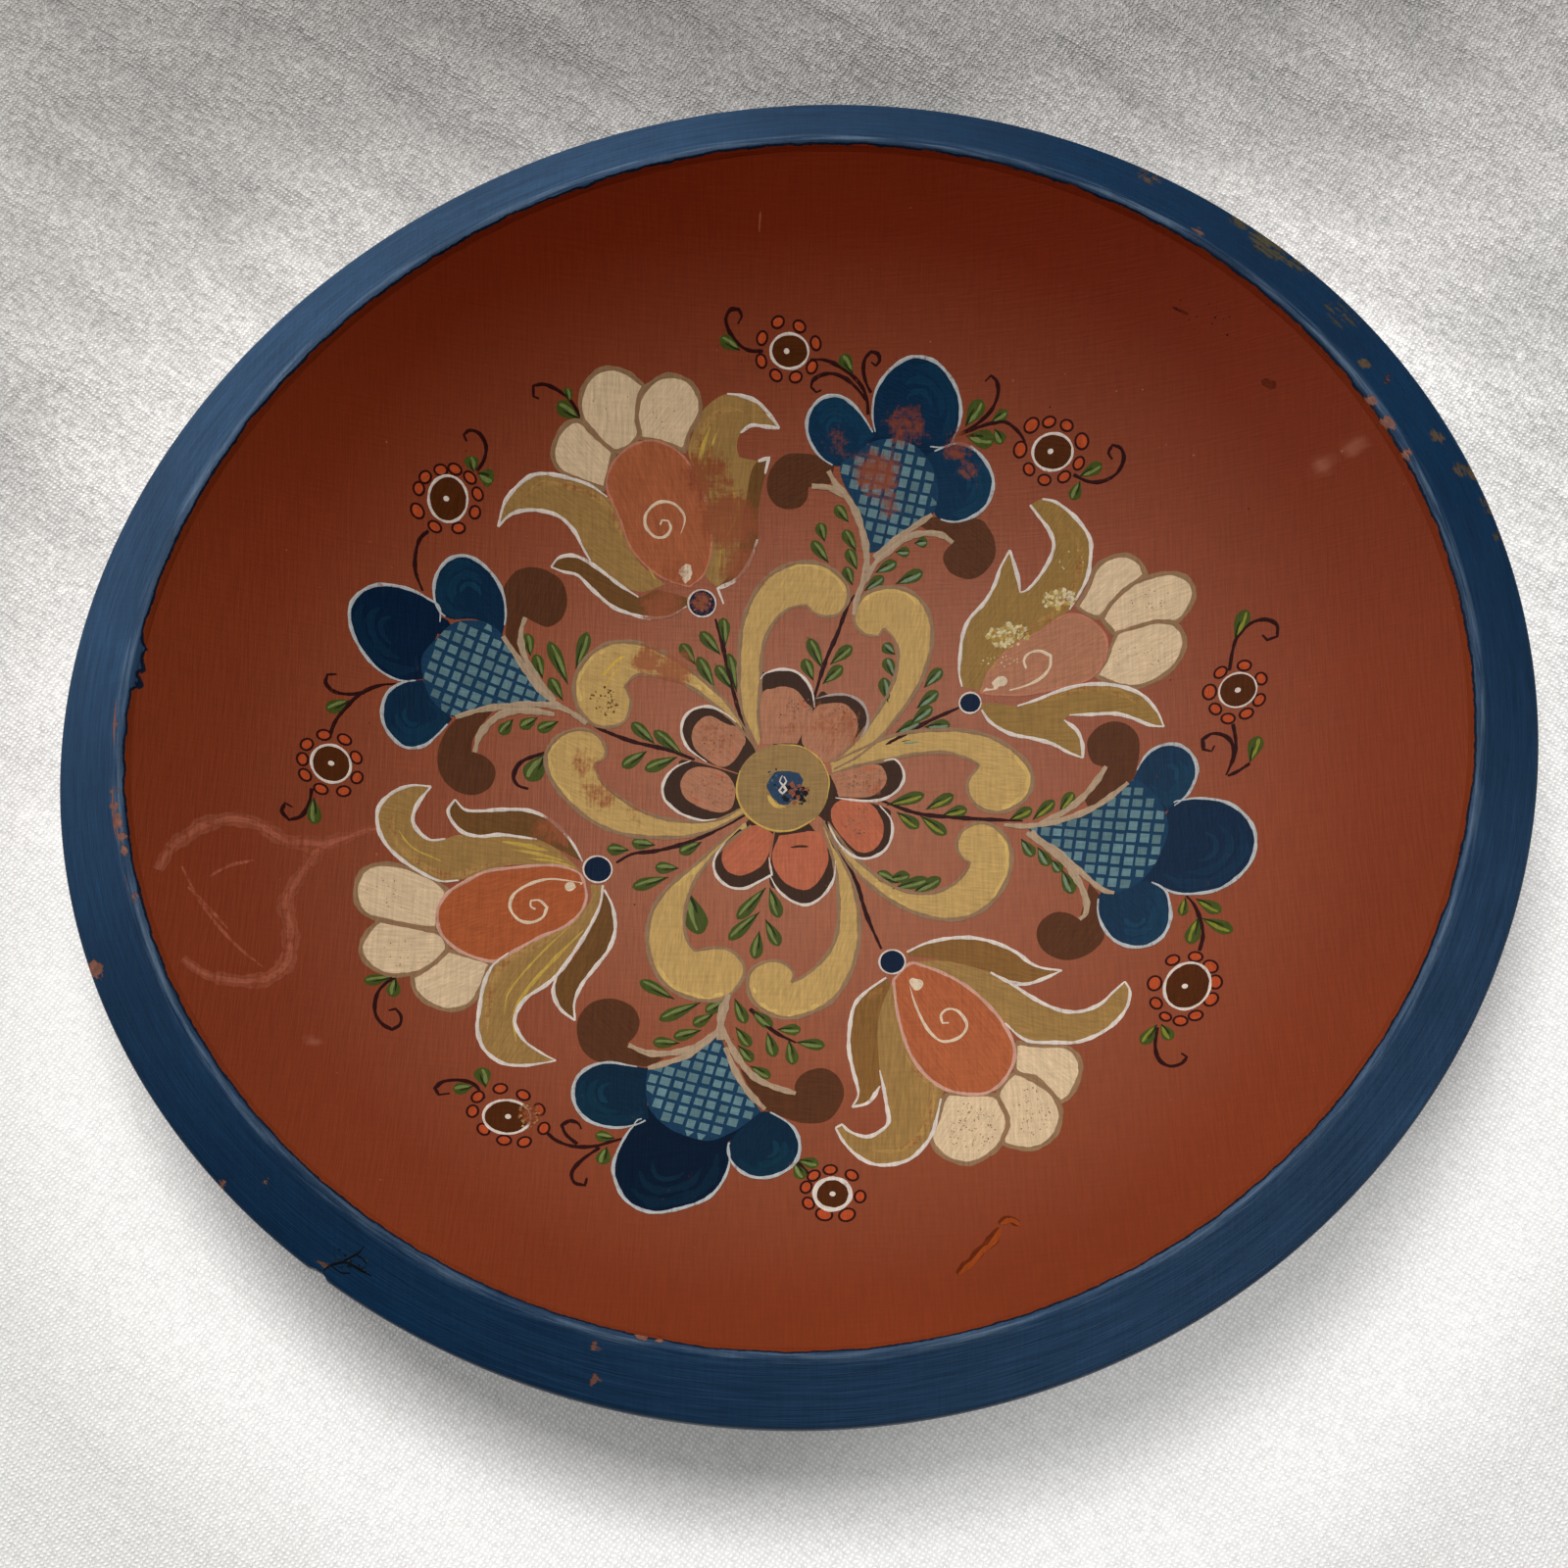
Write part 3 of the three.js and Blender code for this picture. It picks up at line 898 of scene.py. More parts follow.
class Motif:
    """One part of the wreath: strokes and filled shapes, painted one over another."""

    def __init__(self, name, height=hollow_height, slot="red_paint"):
        self.name = name
        self.height = height
        self.slot = slot
        self.strokes = []

    def keep(self, points, lift, faces, colour, level, brush, wear=0.0):
        """Add one stroke. Each one lies in its own part of the brush's streaks."""
        brush = np.c_[brush, np.full(len(points), len(self.strokes) * 7.3)]
        self.strokes.append((points, level * LAYER + lift * RELIEF, faces, colour, brush, wear))

    def fill(self, outline, colour, level=1, bulge=0.1):
        """A closed shape of one paint, thicker inside than at its edge."""
        ring = curve_through(outline, closed=True)
        low, high = ring.min(0), ring.max(0)
        columns = np.arange(low[0] + GRID / 2, high[0], GRID)
        rows = np.arange(low[1] + GRID / 2, high[1], GRID * GRID_ROW)
        grid = [(u + GRID / 2 * (k % 2), v) for k, v in enumerate(rows) for u in columns]
        grid = np.array(grid).reshape(-1, 2)
        grid = grid[inside(ring, grid) & (distance_to(ring, grid) > GRID * GRID_MARGIN)]
        points = np.r_[ring, grid]
        edges = [(i, (i + 1) % len(ring)) for i in range(len(ring))]
        made = delaunay_2d_cdt([Vector(p) for p in points], edges, [], 1, 1e-5)
        points = np.array([tuple(p) for p in made[0]])
        lift = bulge * (1 - np.exp(-distance_to(ring, points) / EDGE_ROUNDING))
        axis = np.linalg.svd(ring - ring.mean(0), full_matrices=False)[2][0]
        brush = np.c_[points @ axis, points @ (-axis[1], axis[0])]
        self.keep(points, lift, [list(f) for f in made[2]], colour, level, brush)

    def patches(self, quads, tones, level):
        """Small four-cornered touches, each of its own tone."""
        points = np.concatenate(quads)
        faces = [[4 * i, 4 * i + 1, 4 * i + 2, 4 * i + 3] for i in range(len(quads))]
        colours = np.repeat(np.array(tones), 4, 0)
        self.keep(points, np.full(len(points), 0.05), faces, colours, level, points)

    def flecks(self, centre, radii, tones, count, size, level, tilt=0.0):
        """Small irregular bits of paint strewn over an oval."""
        rng = np.random.default_rng(count + len(self.strokes))
        quads = []
        for _ in range(count):
            reach = rng.uniform(0, 1) ** 0.6
            angle, turned = rng.uniform(0, 2 * math.pi, 2)
            across, up = radii[0] * reach * math.cos(angle), radii[1] * reach * math.sin(angle)
            middle = leaned(centre, across, up, tilt)
            corners = turned + np.array([0, 1.4, 3.2, 4.7])
            reaches = rng.uniform(0.3, 1) * size / 2 * rng.uniform(0.7, 1.2, 4)
            quads.append(middle + np.c_[reaches * np.cos(corners), reaches * np.sin(corners)])
        self.patches(quads, [tones[k % len(tones)] for k in range(count)], level)

    def line(self, points, width, colour, level=4, taper=(0.4, 0.4), height=0.12, wear=LINE_WEAR):
        """One pull of the brush: a ribbon with a rounded back, thinner where it starts and ends."""
        middle = curve_through(points, step=0.7)
        along = np.gradient(middle, axis=0)
        along /= np.maximum(np.hypot(*along.T), 1e-9)[:, None]
        aside = np.c_[-along[:, 1], along[:, 0]]
        lengths = np.r_[0, np.cumsum(np.hypot(*np.diff(middle, axis=0).T))]
        share = lengths / lengths[-1]
        body = np.minimum(1, taper[0] + (1 - taper[0]) * share / STROKE_TAPER)
        tail = np.minimum(1, taper[1] + (1 - taper[1]) * (1 - share) / STROKE_TAPER)
        (slow, slow_turn), (quick, quick_turn) = STROKE_SWAYS
        sway = 1 + slow * np.sin(lengths * slow_turn + len(self.strokes))
        sway += quick * np.sin(lengths * quick_turn)
        half = width / 2 * body * tail * sway
        offsets = half[:, None] * STROKE_ACROSS
        grid = middle[:, None] + aside[:, None] * offsets[..., None]
        back = np.broadcast_to(height * np.sqrt(1 - STROKE_ACROSS**2), offsets.shape)
        lift = back * body[:, None] * tail[:, None]
        brush = np.stack([np.broadcast_to(lengths[:, None], offsets.shape), offsets], 2)
        faces = [face[::-1] for face in grid_faces(*offsets.shape)]
        self.keep(grid.reshape(-1, 2), lift.ravel(), faces, colour, level, brush.reshape(-1, 2), wear)

    def round(self, centre, radii, colour, level=1, tilt=0.0, bulge=0.1):
        """A round or oval touch of paint."""
        self.fill(oval(centre, radii, tilt), colour, level, bulge)

    def ring(self, centre, radii, width, colour, level=4, tilt=0.0, height=0.12):
        """A line drawn round an oval."""
        loop = oval(centre, radii, tilt)
        self.line(np.r_[loop, loop[:2]], width, colour, level, (0.8, 0.8), height)

    def leaf(self, tip, base, width, light):
        """A small leaf: dark green, with a lighter pull on one side and a shaded one on the other."""
        tip, base = np.array(tip, float), np.array(base, float)
        length = np.hypot(*(base - tip))
        along = (base - tip) / length
        aside = np.array([-along[1], along[0]])
        outline = [tip + along * length * s + aside * width * LEAF_FULLNESS * w for s, w in LEAF_OUTLINE]
        self.fill(outline, DARK_GREEN, 2, 0.09)
        side = aside * width * 0.2
        lit = [tip + along * length * s + side * w for s, w in ((0.1, 0.6), (0.4, 1), (0.85, 0.3))]
        self.line(lit, width * 0.36, light, 3, (0.5, 0.15), 0.06)
        shaded = [tip + along * length * s - side * w for s, w in ((0.3, 1), (0.6, 0.8), (1, 0))]
        self.line(shaded, width * 0.22, LEAF_SHADE, 3, (0.3, 0.4), 0.04)

    def paint(self):
        """The mesh of all the strokes, each a closed skin set into the ground."""
        vertices, colours, places, brushes, wears = [], [], [], [], []
        faces, flat, corners_uv = [], [], []
        cells = packed([stroke[0] for stroke in self.strokes])
        for (points, lift, own_faces, colour, brush, wear), (offset, scale) in zip(self.strokes, cells):
            start, count = sum(map(len, vertices)), len(points)
            plan = to_bowl(points)
            ground = self.height(turned_radius(*plan.T))
            vertices += [np.c_[plan, ground + lift], np.c_[plan, ground - PAINT_FOOT]]
            colours.append(np.tile(np.broadcast_to(colour, (count, 3)), (2, 1)))
            places += [np.c_[points, np.zeros(count)] * MM] * 2
            brushes += [brush, brush]
            wears += [wear_at(points) + wear] * 2
            mapped = (points - points.min(0)) * scale + offset
            hidden = mapped * HIDDEN_SHARE
            used = dict.fromkeys((a, b) for face in own_faces for a, b in zip(face, face[1:] + face[:1]))
            rim = [(a, b) for a, b in used if (b, a) not in used]
            groups = [([list(f) for f in own_faces], 0, False), ([f[::-1] for f in own_faces], count, True)]
            for group, shift, under_side in groups:
                for face in group:
                    faces.append([start + shift + i for i in face])
                    flat.append(under_side)
                    corners_uv += [(hidden if under_side else mapped)[i] for i in face]
            for a, b in rim:
                faces.append([start + b, start + a, start + count + a, start + count + b])
                flat.append(True)
                corners_uv += [hidden[i] for i in (b, a, a, b)]
        mesh = bpy.data.meshes.new(self.name)
        mesh.from_pydata([tuple(p) for p in np.concatenate(vertices) * MM], [], faces)
        mesh.update()
        opaque = np.ones(len(mesh.vertices))
        put_attribute(mesh, "paint", "FLOAT_COLOR", np.c_[np.concatenate(colours), opaque])
        put_attribute(mesh, "plan", "FLOAT_VECTOR", np.concatenate(places))
        put_attribute(mesh, "brush", "FLOAT_VECTOR", np.concatenate(brushes))
        put_attribute(mesh, "wear", "FLOAT", np.concatenate(wears))
        layout = mesh.uv_layers.new(name="OFBake")
        layout.data.foreach_set("uv", np.array(corners_uv, np.float32).ravel())
        piece = finished(self.name, mesh, ORNAMENT_PAINT, None)
        mesh.polygons.foreach_set("use_smooth", [not f for f in flat])
        return piece


def packed(shapes):
    """Where each flat shape lies in a square picture: shelves of shapes, tallest first."""
    gap = PACKING_GAP
    sizes = [shape.max(0) - shape.min(0) + gap for shape in shapes]
    order = sorted(range(len(sizes)), key=lambda i: -sizes[i][1])
    side = math.sqrt(sum(w * h for w, h in sizes)) * 1.02
    while True:
        places, x, y, shelf = {}, gap, gap, 0
        for i in order:
            width, height = sizes[i]
            if x + width > side:
                x, y, shelf = gap, y + shelf, 0
            places[i] = (x, y)
            x += width
            shelf = max(shelf, height)
        if y + shelf <= side and max(w for w, _ in sizes) + gap < side:
            return [(np.array(places[i]) / side, 1 / side) for i in range(len(sizes))]
        side *= 1.03


ORNAMENT_PAINT = ornament_paint()


# The wreath

def closed_by(*runs):
    """One closed outline from runs of points that follow each other, with no point twice in a row."""
    outline = []
    for run in runs:
        for point in run:
            if not outline or point != outline[-1]:
                outline.append(point)
    return outline[:-1] if outline[0] == outline[-1] else outline


# Where the rosette's petals are rubbed grey-brown: centre, radii and tilt
ROSETTE_RUBS = [
    ((13, 0.5), (6, 3.4), 0), ((-21, -2.5), (5, 4), 10), ((-20.5, 10), (4, 4.5), 30),
    ((-2, 16.5), (5, 3), 30), ((8.5, 14.5), (3.5, 3.5), 40), ((12.5, -10), (3, 4), -30),
]


def rosette():
    """Eight salmon petals round a yellow ring with a blue eye."""
    m = Motif("rosette")
    petals = [
        ([(-10, 24.7), (-8.9, 26.1), (-5.6, 27.1), (-2.2, 26.7), (0.3, 24.7), (1.9, 21.7), (2.5, 17.8)],
         [(-9.7, 9), (-9.9, 20.5), (-7, 22.6), (-4.4, 23.1), (-1.5, 22), (0.8, 18.9), (2, 16.5), (-1.5, 9)],
         WHITE, SALMON_DULL),
        ([(2.8, 20), (6.1, 20.8), (10, 20.8), (13.3, 18.9), (14.7, 15.6), (14.2, 12.2), (12.2, 9.4)],
         [(3, 5), (-0.5, 10), (2.5, 17.5), (6, 19), (10, 18.5), (12.5, 14.5), (11.5, 10), (8, 5)],
         GREY_WHITE, SALMON_DULL),
        ([(18.3, 4.7), (20.8, 5), (22.5, 2.8), (22.8, 0), (21.1, -2.8), (17.8, -4.7), (13.3, -5),
          (7.2, -4.2)],
         [(6, 1.5), (12, 3.3), (17, 3.8), (18.9, 1.5), (18.5, -1.5), (15, -4), (8, -4)],
         WHITE, SALMON_DULL),
        ([(17.2, -6.1), (19.7, -9.4), (20, -13.3), (18.3, -17), (14.7, -18.9), (11.1, -18.3), (7.8, -15),
          (5.6, -10.6)],
         [(6.1, -6.1), (10, -4.2), (15, -5.6), (17.8, -9.4), (18.1, -13.3), (16.1, -16.7), (12.8, -17.5),
          (9.4, -14.7), (6.4, -10)],
         WHITE, SALMON_WARM),
        ([(-7.8, -22.8), (-5.6, -26.7), (-2.2, -29.4), (1.1, -30), (4.4, -27.8), (6.7, -23.9), (7.2, -19.4)],
         [(-5.6, -13.3), (-7.2, -18.3), (-5.6, -23.3), (-2.2, -26.1), (1.1, -26.4), (3.9, -23.9),
          (5.6, -19.4), (4.4, -13.9), (1.7, -12.2)],
         WHITE, SALMON_WARM),
        ([(-17.8, -15), (-19.7, -17.8), (-20.4, -20.6), (-19.4, -23.6), (-16.7, -25.8), (-13.3, -26.1),
          (-10, -24.4), (-7.2, -22.8), (-7.9, -18.6)],
         [(-13.9, -12.2), (-17.8, -16.1), (-18.6, -19.4), (-17.2, -22.2), (-13.9, -23.1), (-10, -21.1),
          (-8, -17.8), (-6.7, -13.3), (-10, -10.6)],
         WHITE, SALMON_WARM),
        ([(-25.8, 4.7), (-28.9, 3.3), (-31.1, 1.1), (-32.2, -1.7), (-31.9, -4.4), (-30.6, -6.1),
          (-27.8, -8.3), (-23.3, -9.7), (-20, -9.4)],
         [(-25, 3.1), (-21.7, 3.1), (-17.8, 1.7), (-15.6, -1.7), (-16.1, -6.1), (-18.9, -7.8), (-23.3, -6.9),
          (-27.2, -4.4), (-28.3, -1.1), (-27.2, 1.7)],
         WHITE, SALMON_DULL),
        ([(-22.2, 4.4), (-25, 6.4), (-26.9, 8.3), (-28.1, 11.7), (-27.5, 15), (-25.3, 17.2), (-21.7, 17.9),
          (-17.8, 16.1), (-15.6, 14.2)],
         [(-17.8, 13.9), (-21.7, 15.8), (-24.4, 14.4), (-25.8, 11.7), (-25.3, 8.3), (-22.8, 5.6),
          (-18.9, 3.3), (-15.6, 5), (-13.3, 10), (-15, 12.8)],
         WHITE, SALMON_DULL),
    ]
    ring_centre, eye_centre = (-4.9, -1.7), (-4.4, -1.4)
    for edge, *_ in petals:
        m.fill(edge + [ring_centre], DARK_BROWN, 1, 0.06)
    for edge, body, line, tone in petals:
        m.fill(body, tone, 2, 0.1)
        m.line(edge, 0.65, line, 5, (0.3, 0.3))
        body = np.array(body)
        middle = body.mean(0)
        for share, light in ((0.75, SALMON_LIGHT), (0.45, SALMON_PALE), (0.6, SALMON_DEEP)):
            for side, width in ((body[1:4], 0.8), (body[-4:-1], 0.7)):
                m.line(drawn_in(side, share, middle), width, light, 3, (0.2, 0.2), 0.04)
    for centre, radii, tilt in ROSETTE_RUBS:
        m.flecks(centre, radii, FLECK_GREY, 60, 0.6, 4, tilt)
    m.round(ring_centre, (10.6, 10.6), RING_OCHRE, 4, bulge=0.12)
    ring_left = [(-14.6, 2.4), (-15.3, -3), (-13, -8.4), (-8, -11.8), (-2.5, -12), (2.6, -9.2)]
    ring_right = [(5.3, -4.5), (5.7, 0.6), (3.4, 5.4), (-0.8, 8.3), (-6, 8.8)]
    m.line(ring_left, 0.5, PALE_YELLOW, 5)
    m.line(ring_right, 0.35, PALE_YELLOW, 5)
    m.ring(ring_centre, (6.4, 6.4), 0.8, OCHRE_EDGE, 5, height=0.06)
    m.round(eye_centre, (5.3, 5.2), EYE_BLUE, 5)
    m.line([(-8.2, -3.6), (-6.6, -5.9), (-4.2, -6.4)], 1.2, PALE_YELLOW, 6, (0.3, 0.3))
    m.flecks((-1.8, -3.2), (3, 2.8), FLECK_EYE, 44, 1.7, 6)
    m.flecks((-6.6, 0.4), (2, 2.4), FLECK_BLUE, 16, 0.8, 6)
    eight = [(-4.9, 1.2), (-5.5, -0.2), (-4.7, -1.2), (-4, -2.3), (-4.9, -3.2), (-5.6, -2.4), (-4.7, -1.2),
             (-4, -0.2), (-4.6, 1)]
    m.line(eight, 0.5, WHITE, 8)
    m.line([(-3, -16.2), (-1, -15.9), (1, -16)], 0.5, DARK_BROWN, 5)
    return m.paint()


# The scrolls, each from the rosette round its outer and along its inner edge to the curl of its knob
SCROLLS = [
    ([(-10.5, 8.2), (-14.1, 16.4), (-15, 25.5), (-14.5, 36.4), (-12.3, 43.6), (-8.6, 49.1), (-3.2, 52.3),
      (2.3, 52.7), (6.8, 50.9), (10, 47.3), (10.3, 43.6), (8.2, 40.5), (5, 39.8), (2.3, 40.9), (0.5, 42.7)],
     [(-10, 10.5), (-10.5, 16.4), (-10, 23.6), (-9.4, 32.7), (-6.8, 38.6), (-3.2, 41.8), (0.5, 42.7)]),
    ([(6.8, 2.7), (13.2, 6.4), (19.5, 12.7), (25.9, 21.8), (29.1, 30), (29.7, 36.4), (28.2, 41.8),
      (24.5, 45.5), (19.5, 46.6), (15, 45.5), (12.1, 42.3), (11.8, 38.2), (14.1, 35.5), (17.3, 35),
      (18.6, 36.8)],
     [(5.9, 4.4), (11.4, 9.1), (16.8, 16.4), (20.5, 23.6), (21.8, 30), (20.9, 34.1), (18.6, 36.8)]),
    ([(6.8, 4.5), (12.3, 7.3), (19.5, 10.5), (26.8, 11.8), (35, 11.8), (42.3, 10), (47.7, 6.4), (51.4, 1.8),
      (51.8, -2.7), (49.5, -6.4), (45, -8.6), (40.5, -7.7), (37.7, -4.5), (37.3, -0.9), (39.1, 1.8),
      (40, 3.2)],
     [(6.4, 1.8), (12.3, 3.6), (19.5, 5), (25.9, 6.2), (32.3, 6.4), (36.8, 5), (40, 3.2)]),
    ([(4.5, -10), (9.5, -19.1), (15, -25.5), (21.4, -30.5), (28.6, -33.6), (35, -34.1), (40.5, -31.8),
      (44.5, -27.3), (46.6, -21.8), (46.4, -16.4), (43.6, -12.3), (39.5, -10.9), (35.9, -12.7), (34.5, -16.4),
      (35.9, -19.5), (37.5, -20.5)],
     [(5.5, -10), (10.5, -17.3), (15.9, -22.7), (21.4, -26.4), (27.7, -27.7), (33.2, -25.9), (36.4, -22.7),
      (37.5, -20.5)]),
    ([(4.1, -10), (7.7, -17.3), (10.9, -24.5), (12.3, -31.8), (12.3, -39.1), (10.5, -46.4), (6.8, -52.7),
      (2.3, -55.9), (-3.2, -57.5), (-7.7, -56.4), (-11.4, -53.2), (-12.5, -49.1), (-11.4, -45.5),
      (-7.7, -43.6), (-4.5, -44.1), (-2.3, -46.4), (-2.7, -48.8)],
     [(4.5, -11.8), (6.8, -20), (7.7, -27.3), (7.7, -34.5), (6.4, -40), (3.2, -44.5), (0, -47.3),
      (-2.7, -48.8)]),
    ([(-14.1, -10.5), (-19.5, -15.5), (-25, -20.9), (-30, -25.5), (-33.6, -30.9), (-35, -37.3),
      (-34.1, -43.6), (-31.4, -49.1), (-26.8, -52.3), (-21.4, -53.5), (-16.8, -52.3), (-13.6, -48.2),
      (-13.4, -44.5), (-15.9, -41.4), (-19.5, -40.5), (-24.4, -41.4)],
     [(-12, -10.8), (-16, -14), (-20.5, -18.6), (-24.1, -23.6), (-26.1, -29.1), (-26.8, -34.5),
      (-25.9, -39.1), (-24.4, -41.4)]),
    ([(-13.2, -7.7), (-19.5, -11.4), (-25.9, -13.6), (-33.2, -14.1), (-40.5, -13.6), (-46.8, -11.4),
      (-52.3, -7.3), (-56.4, -2.7), (-58.5, 1.8), (-58.5, 5.5), (-55.9, 9.5), (-51.4, 11.4), (-47.7, 10.5),
      (-45.5, 7.7), (-45.5, 5), (-47.7, 3.2)],
     [(-14.5, -6.8), (-19.5, -9.5), (-26.8, -10), (-33.2, -9.1), (-38.6, -6.8), (-43.2, -3.6), (-46.4, -0.5),
      (-47.7, 3.2)]),
    ([(-10.5, 6.4), (-14.1, 13.6), (-18.6, 20), (-24.1, 25), (-29.5, 29.1), (-35, 31.8), (-39.5, 32.9),
      (-45, 32.3), (-49.5, 29.1), (-52.3, 24.5), (-52.7, 20), (-51.4, 15.9), (-48.2, 12.7), (-44.1, 12.3),
      (-40.9, 14.1), (-39.7, 18.2), (-40.5, 20.9), (-41.2, 22.3)],
     [(-11.8, 9.1), (-15.9, 14.1), (-20.5, 18.2), (-25, 21.8), (-29.5, 24.1), (-35, 25), (-38.6, 25),
      (-41.2, 22.3)]),
]


def scroll(number, outer, inner):
    """A yellow scroll that swells from the rosette to a curled knob, with a grey-brown edge."""
    m = Motif(f"scroll_{number}")
    m.fill(closed_by(outer, inner[::-1]), OCHRE, 1, 0.14)
    outer_points, inner_points = np.array(outer), np.array(inner)
    ridge = [outer_points[i] * 0.55 + inner_points[min(i, len(inner) - 2)] * 0.45 for i in range(2, 6)]
    m.line(ridge, 2.2, OCHRE_LIGHT, 2, (0.2, 0.2), 0.06)
    m.line(drawn_in(outer_points[5:-3], 0.8), 1.7, OCHRE_LIGHT, 2, (0.3, 0.2), 0.07)
    m.line(outer, 1.0, OCHRE_EDGE, 3, (0.4, 0.6), 0.1)
    m.line(inner, 0.9, OCHRE_EDGE, 3, (0.4, 0.6), 0.1)
    if number == 8:
        m.line([(-39.5, 30.6), (-44, 27.4), (-47.6, 22.4)], 1.3, BRIGHT_YELLOW, 3, (0.3, 0.2), 0.05)
        m.line([(-41, 28), (-44.6, 24), (-46.4, 19.4)], 0.7, BRIGHT_YELLOW, 3, (0.3, 0.2), 0.05)
        m.flecks((-45.8, 18.4), (3.2, 3.6), FLECK_UMBER, 40, 0.8, 4)
    return m.paint()


# The dark stems, each from the rosette or its scroll outwards
STEMS = [
    [(-13, 10), (-14.5, 15.5), (-16.8, 23.6), (-18.6, 31.8), (-20.5, 39.1)],
    [(2.3, 20), (5, 29.1), (7.7, 35.5), (10, 41.8), (11.8, 45)],
    [(15, 6.4), (22.3, 10.5), (28.6, 14.1), (35.9, 17.3)],
    [(17.7, -5), (25.9, -8.2), (35, -9.5), (45, -10.5), (49.5, -10.9)],
    [(5, -10), (6.8, -15.5), (11.4, -23.6), (14.1, -32.7), (17.3, -40.9)],
    [(-13.2, -8.2), (-19.5, -11.8), (-25.9, -15), (-33.2, -17.3), (-38.6, -18.2), (-42.3, -20.5)],
    [(-25, 5), (-31.4, 7.3), (-39.5, 9.1), (-46.8, 11.8), (-49.5, 13.6)],
    [(-59.1, 5.2), (-64.1, 2.7), (-65.8, -0.9), (-64.7, -3.1), (-62.4, -3.7)],
]

# Leaves between the scrolls, each from its tip to its foot, by the colour of their light stroke
SPRAYS = {
    LEAF_GREEN: [
        ((-28.5, 33), (-25, 28)), ((-24.5, 30), (-20.5, 22)), ((-20.3, 28), (-16.2, 22)),
        ((-24, 36), (-19.2, 30.5)), ((-18.8, 39.5), (-18.2, 32.5)), ((-17.5, 31), (-15.5, 21.5)),
        ((1.1, 34.7), (4.4, 27.2)), ((0, 29.7), (2.2, 24.4)), ((11.1, 32.8), (6.1, 28.3)),
        ((8.9, 28), (4.4, 23.6)), ((16.4, -22.5), (21.4, -25)), ((23.9, -23.1), (18.9, -24.2)),
        ((28.1, -24.2), (20, -26.4)), ((30.9, -24), (24.5, -27.5)), ((-15, -33.6), (-8.6, -25.9)),
        ((-5.5, -33.2), (-7.7, -25.9)), ((-16.8, -38.6), (-10, -31.8)), ((-5.5, -40), (-8.6, -33.6)),
        ((-10.9, -43.2), (-10, -36.4)), ((-38.6, -26.4), (-30.5, -23.6)), ((-33.6, -21.4), (-28.2, -21.4)),
        ((-44.5, -17.3), (-39.5, -17.3)), ((-39, -15.5), (-33.6, -15.9)), ((-28.2, -17.7), (-23.2, -15)),
        ((-39.5, 13.6), (-34.1, 8.6)), ((-34.4, 11.9), (-27.5, 5.8)), ((-41.5, 2.7), (-35.9, 6.8)),
        ((-36.4, 2.2), (-28.9, 5.6)),
    ],
    SEA_GREEN: [
        ((18.3, 33), (21.1, 30.5)), ((18.9, 29.7), (20.8, 25)), ((18.3, 25), (19.4, 18.9)),
        ((31.8, 26.8), (27.7, 22.3)), ((30.9, 21.4), (25.9, 17.3)), ((29.5, 17.7), (24.5, 13.6)),
        ((33.6, 13.2), (27.7, 12.7)), ((26.8, 14), (21, 11.5)), ((27, 9.5), (21.5, 9)),
    ],
    YELLOW_GREEN: [
        ((27.5, -3.6), (18.9, -6.1)), ((34.1, -3.9), (27.7, -7.3)), ((37.1, -7.5), (31.4, -8.8)),
        ((26.1, -11.7), (21.1, -7.8)), ((32.3, -13.5), (26.4, -8.8)),
    ],
}


def stems_and_sprays():
    """The dark stems that run out between the scrolls, and the small leaves on them."""
    m = Motif("stems_and_sprays")
    for stem in STEMS:
        m.line(stem, 0.95, MAROON, 2, (0.6, 0.5), 0.09)
    for light, leaves in SPRAYS.items():
        for tip, base in leaves:
            m.leaf(tip, base, 2.0, light)
    m.leaf((-23.2, -37.3), (-25.9, -27.3), 3.4, LEAF_GREEN)
    m.leaf((-62.7, -1.7), (-58.8, 4.9), 3.2, LEAF_GREEN)
    return m.paint()


# By tulip: bright streaks on its leaves, each with its width
STREAKS = {
    1: [([(-43, 69), (-40.3, 61.3), (-37.3, 53.5), (-34.5, 47.9)], 0.9),
        ([(-41.8, 69), (-39, 60.8), (-36, 52.4)], 0.5),
        ([(-21.4, 84), (-23.6, 78), (-24.7, 71.8), (-23.4, 66.6)], 1),
        ([(-19.8, 83), (-22, 77), (-23.2, 71)], 0.5),
        ([(-16.9, 71.2), (-15.6, 64.2), (-18.2, 57.8)], 0.5),
        ([(-18.8, 58.5), (-19.4, 53), (-19.2, 49)], 0.7)],
    4: [([(-67.7, -16.9), (-62, -17.6), (-57.5, -18.4)], 1.1),
        ([(-66, -18.6), (-60.5, -19.2), (-54, -20.6)], 0.8),
        ([(-62, -20.6), (-56, -20.9), (-51.4, -22.2)], 0.6),
        ([(-90.5, -16.2), (-87, -20.4), (-80, -23.2)], 0.5),
        ([(-49.1, -37.2), (-56.8, -46.7), (-61.5, -53.9), (-63.2, -59.7), (-62.4, -65.3)], 0.9),
        ([(-51.5, -35.6), (-59, -44.6), (-64.6, -53.4), (-65.3, -60)], 0.5)],
}

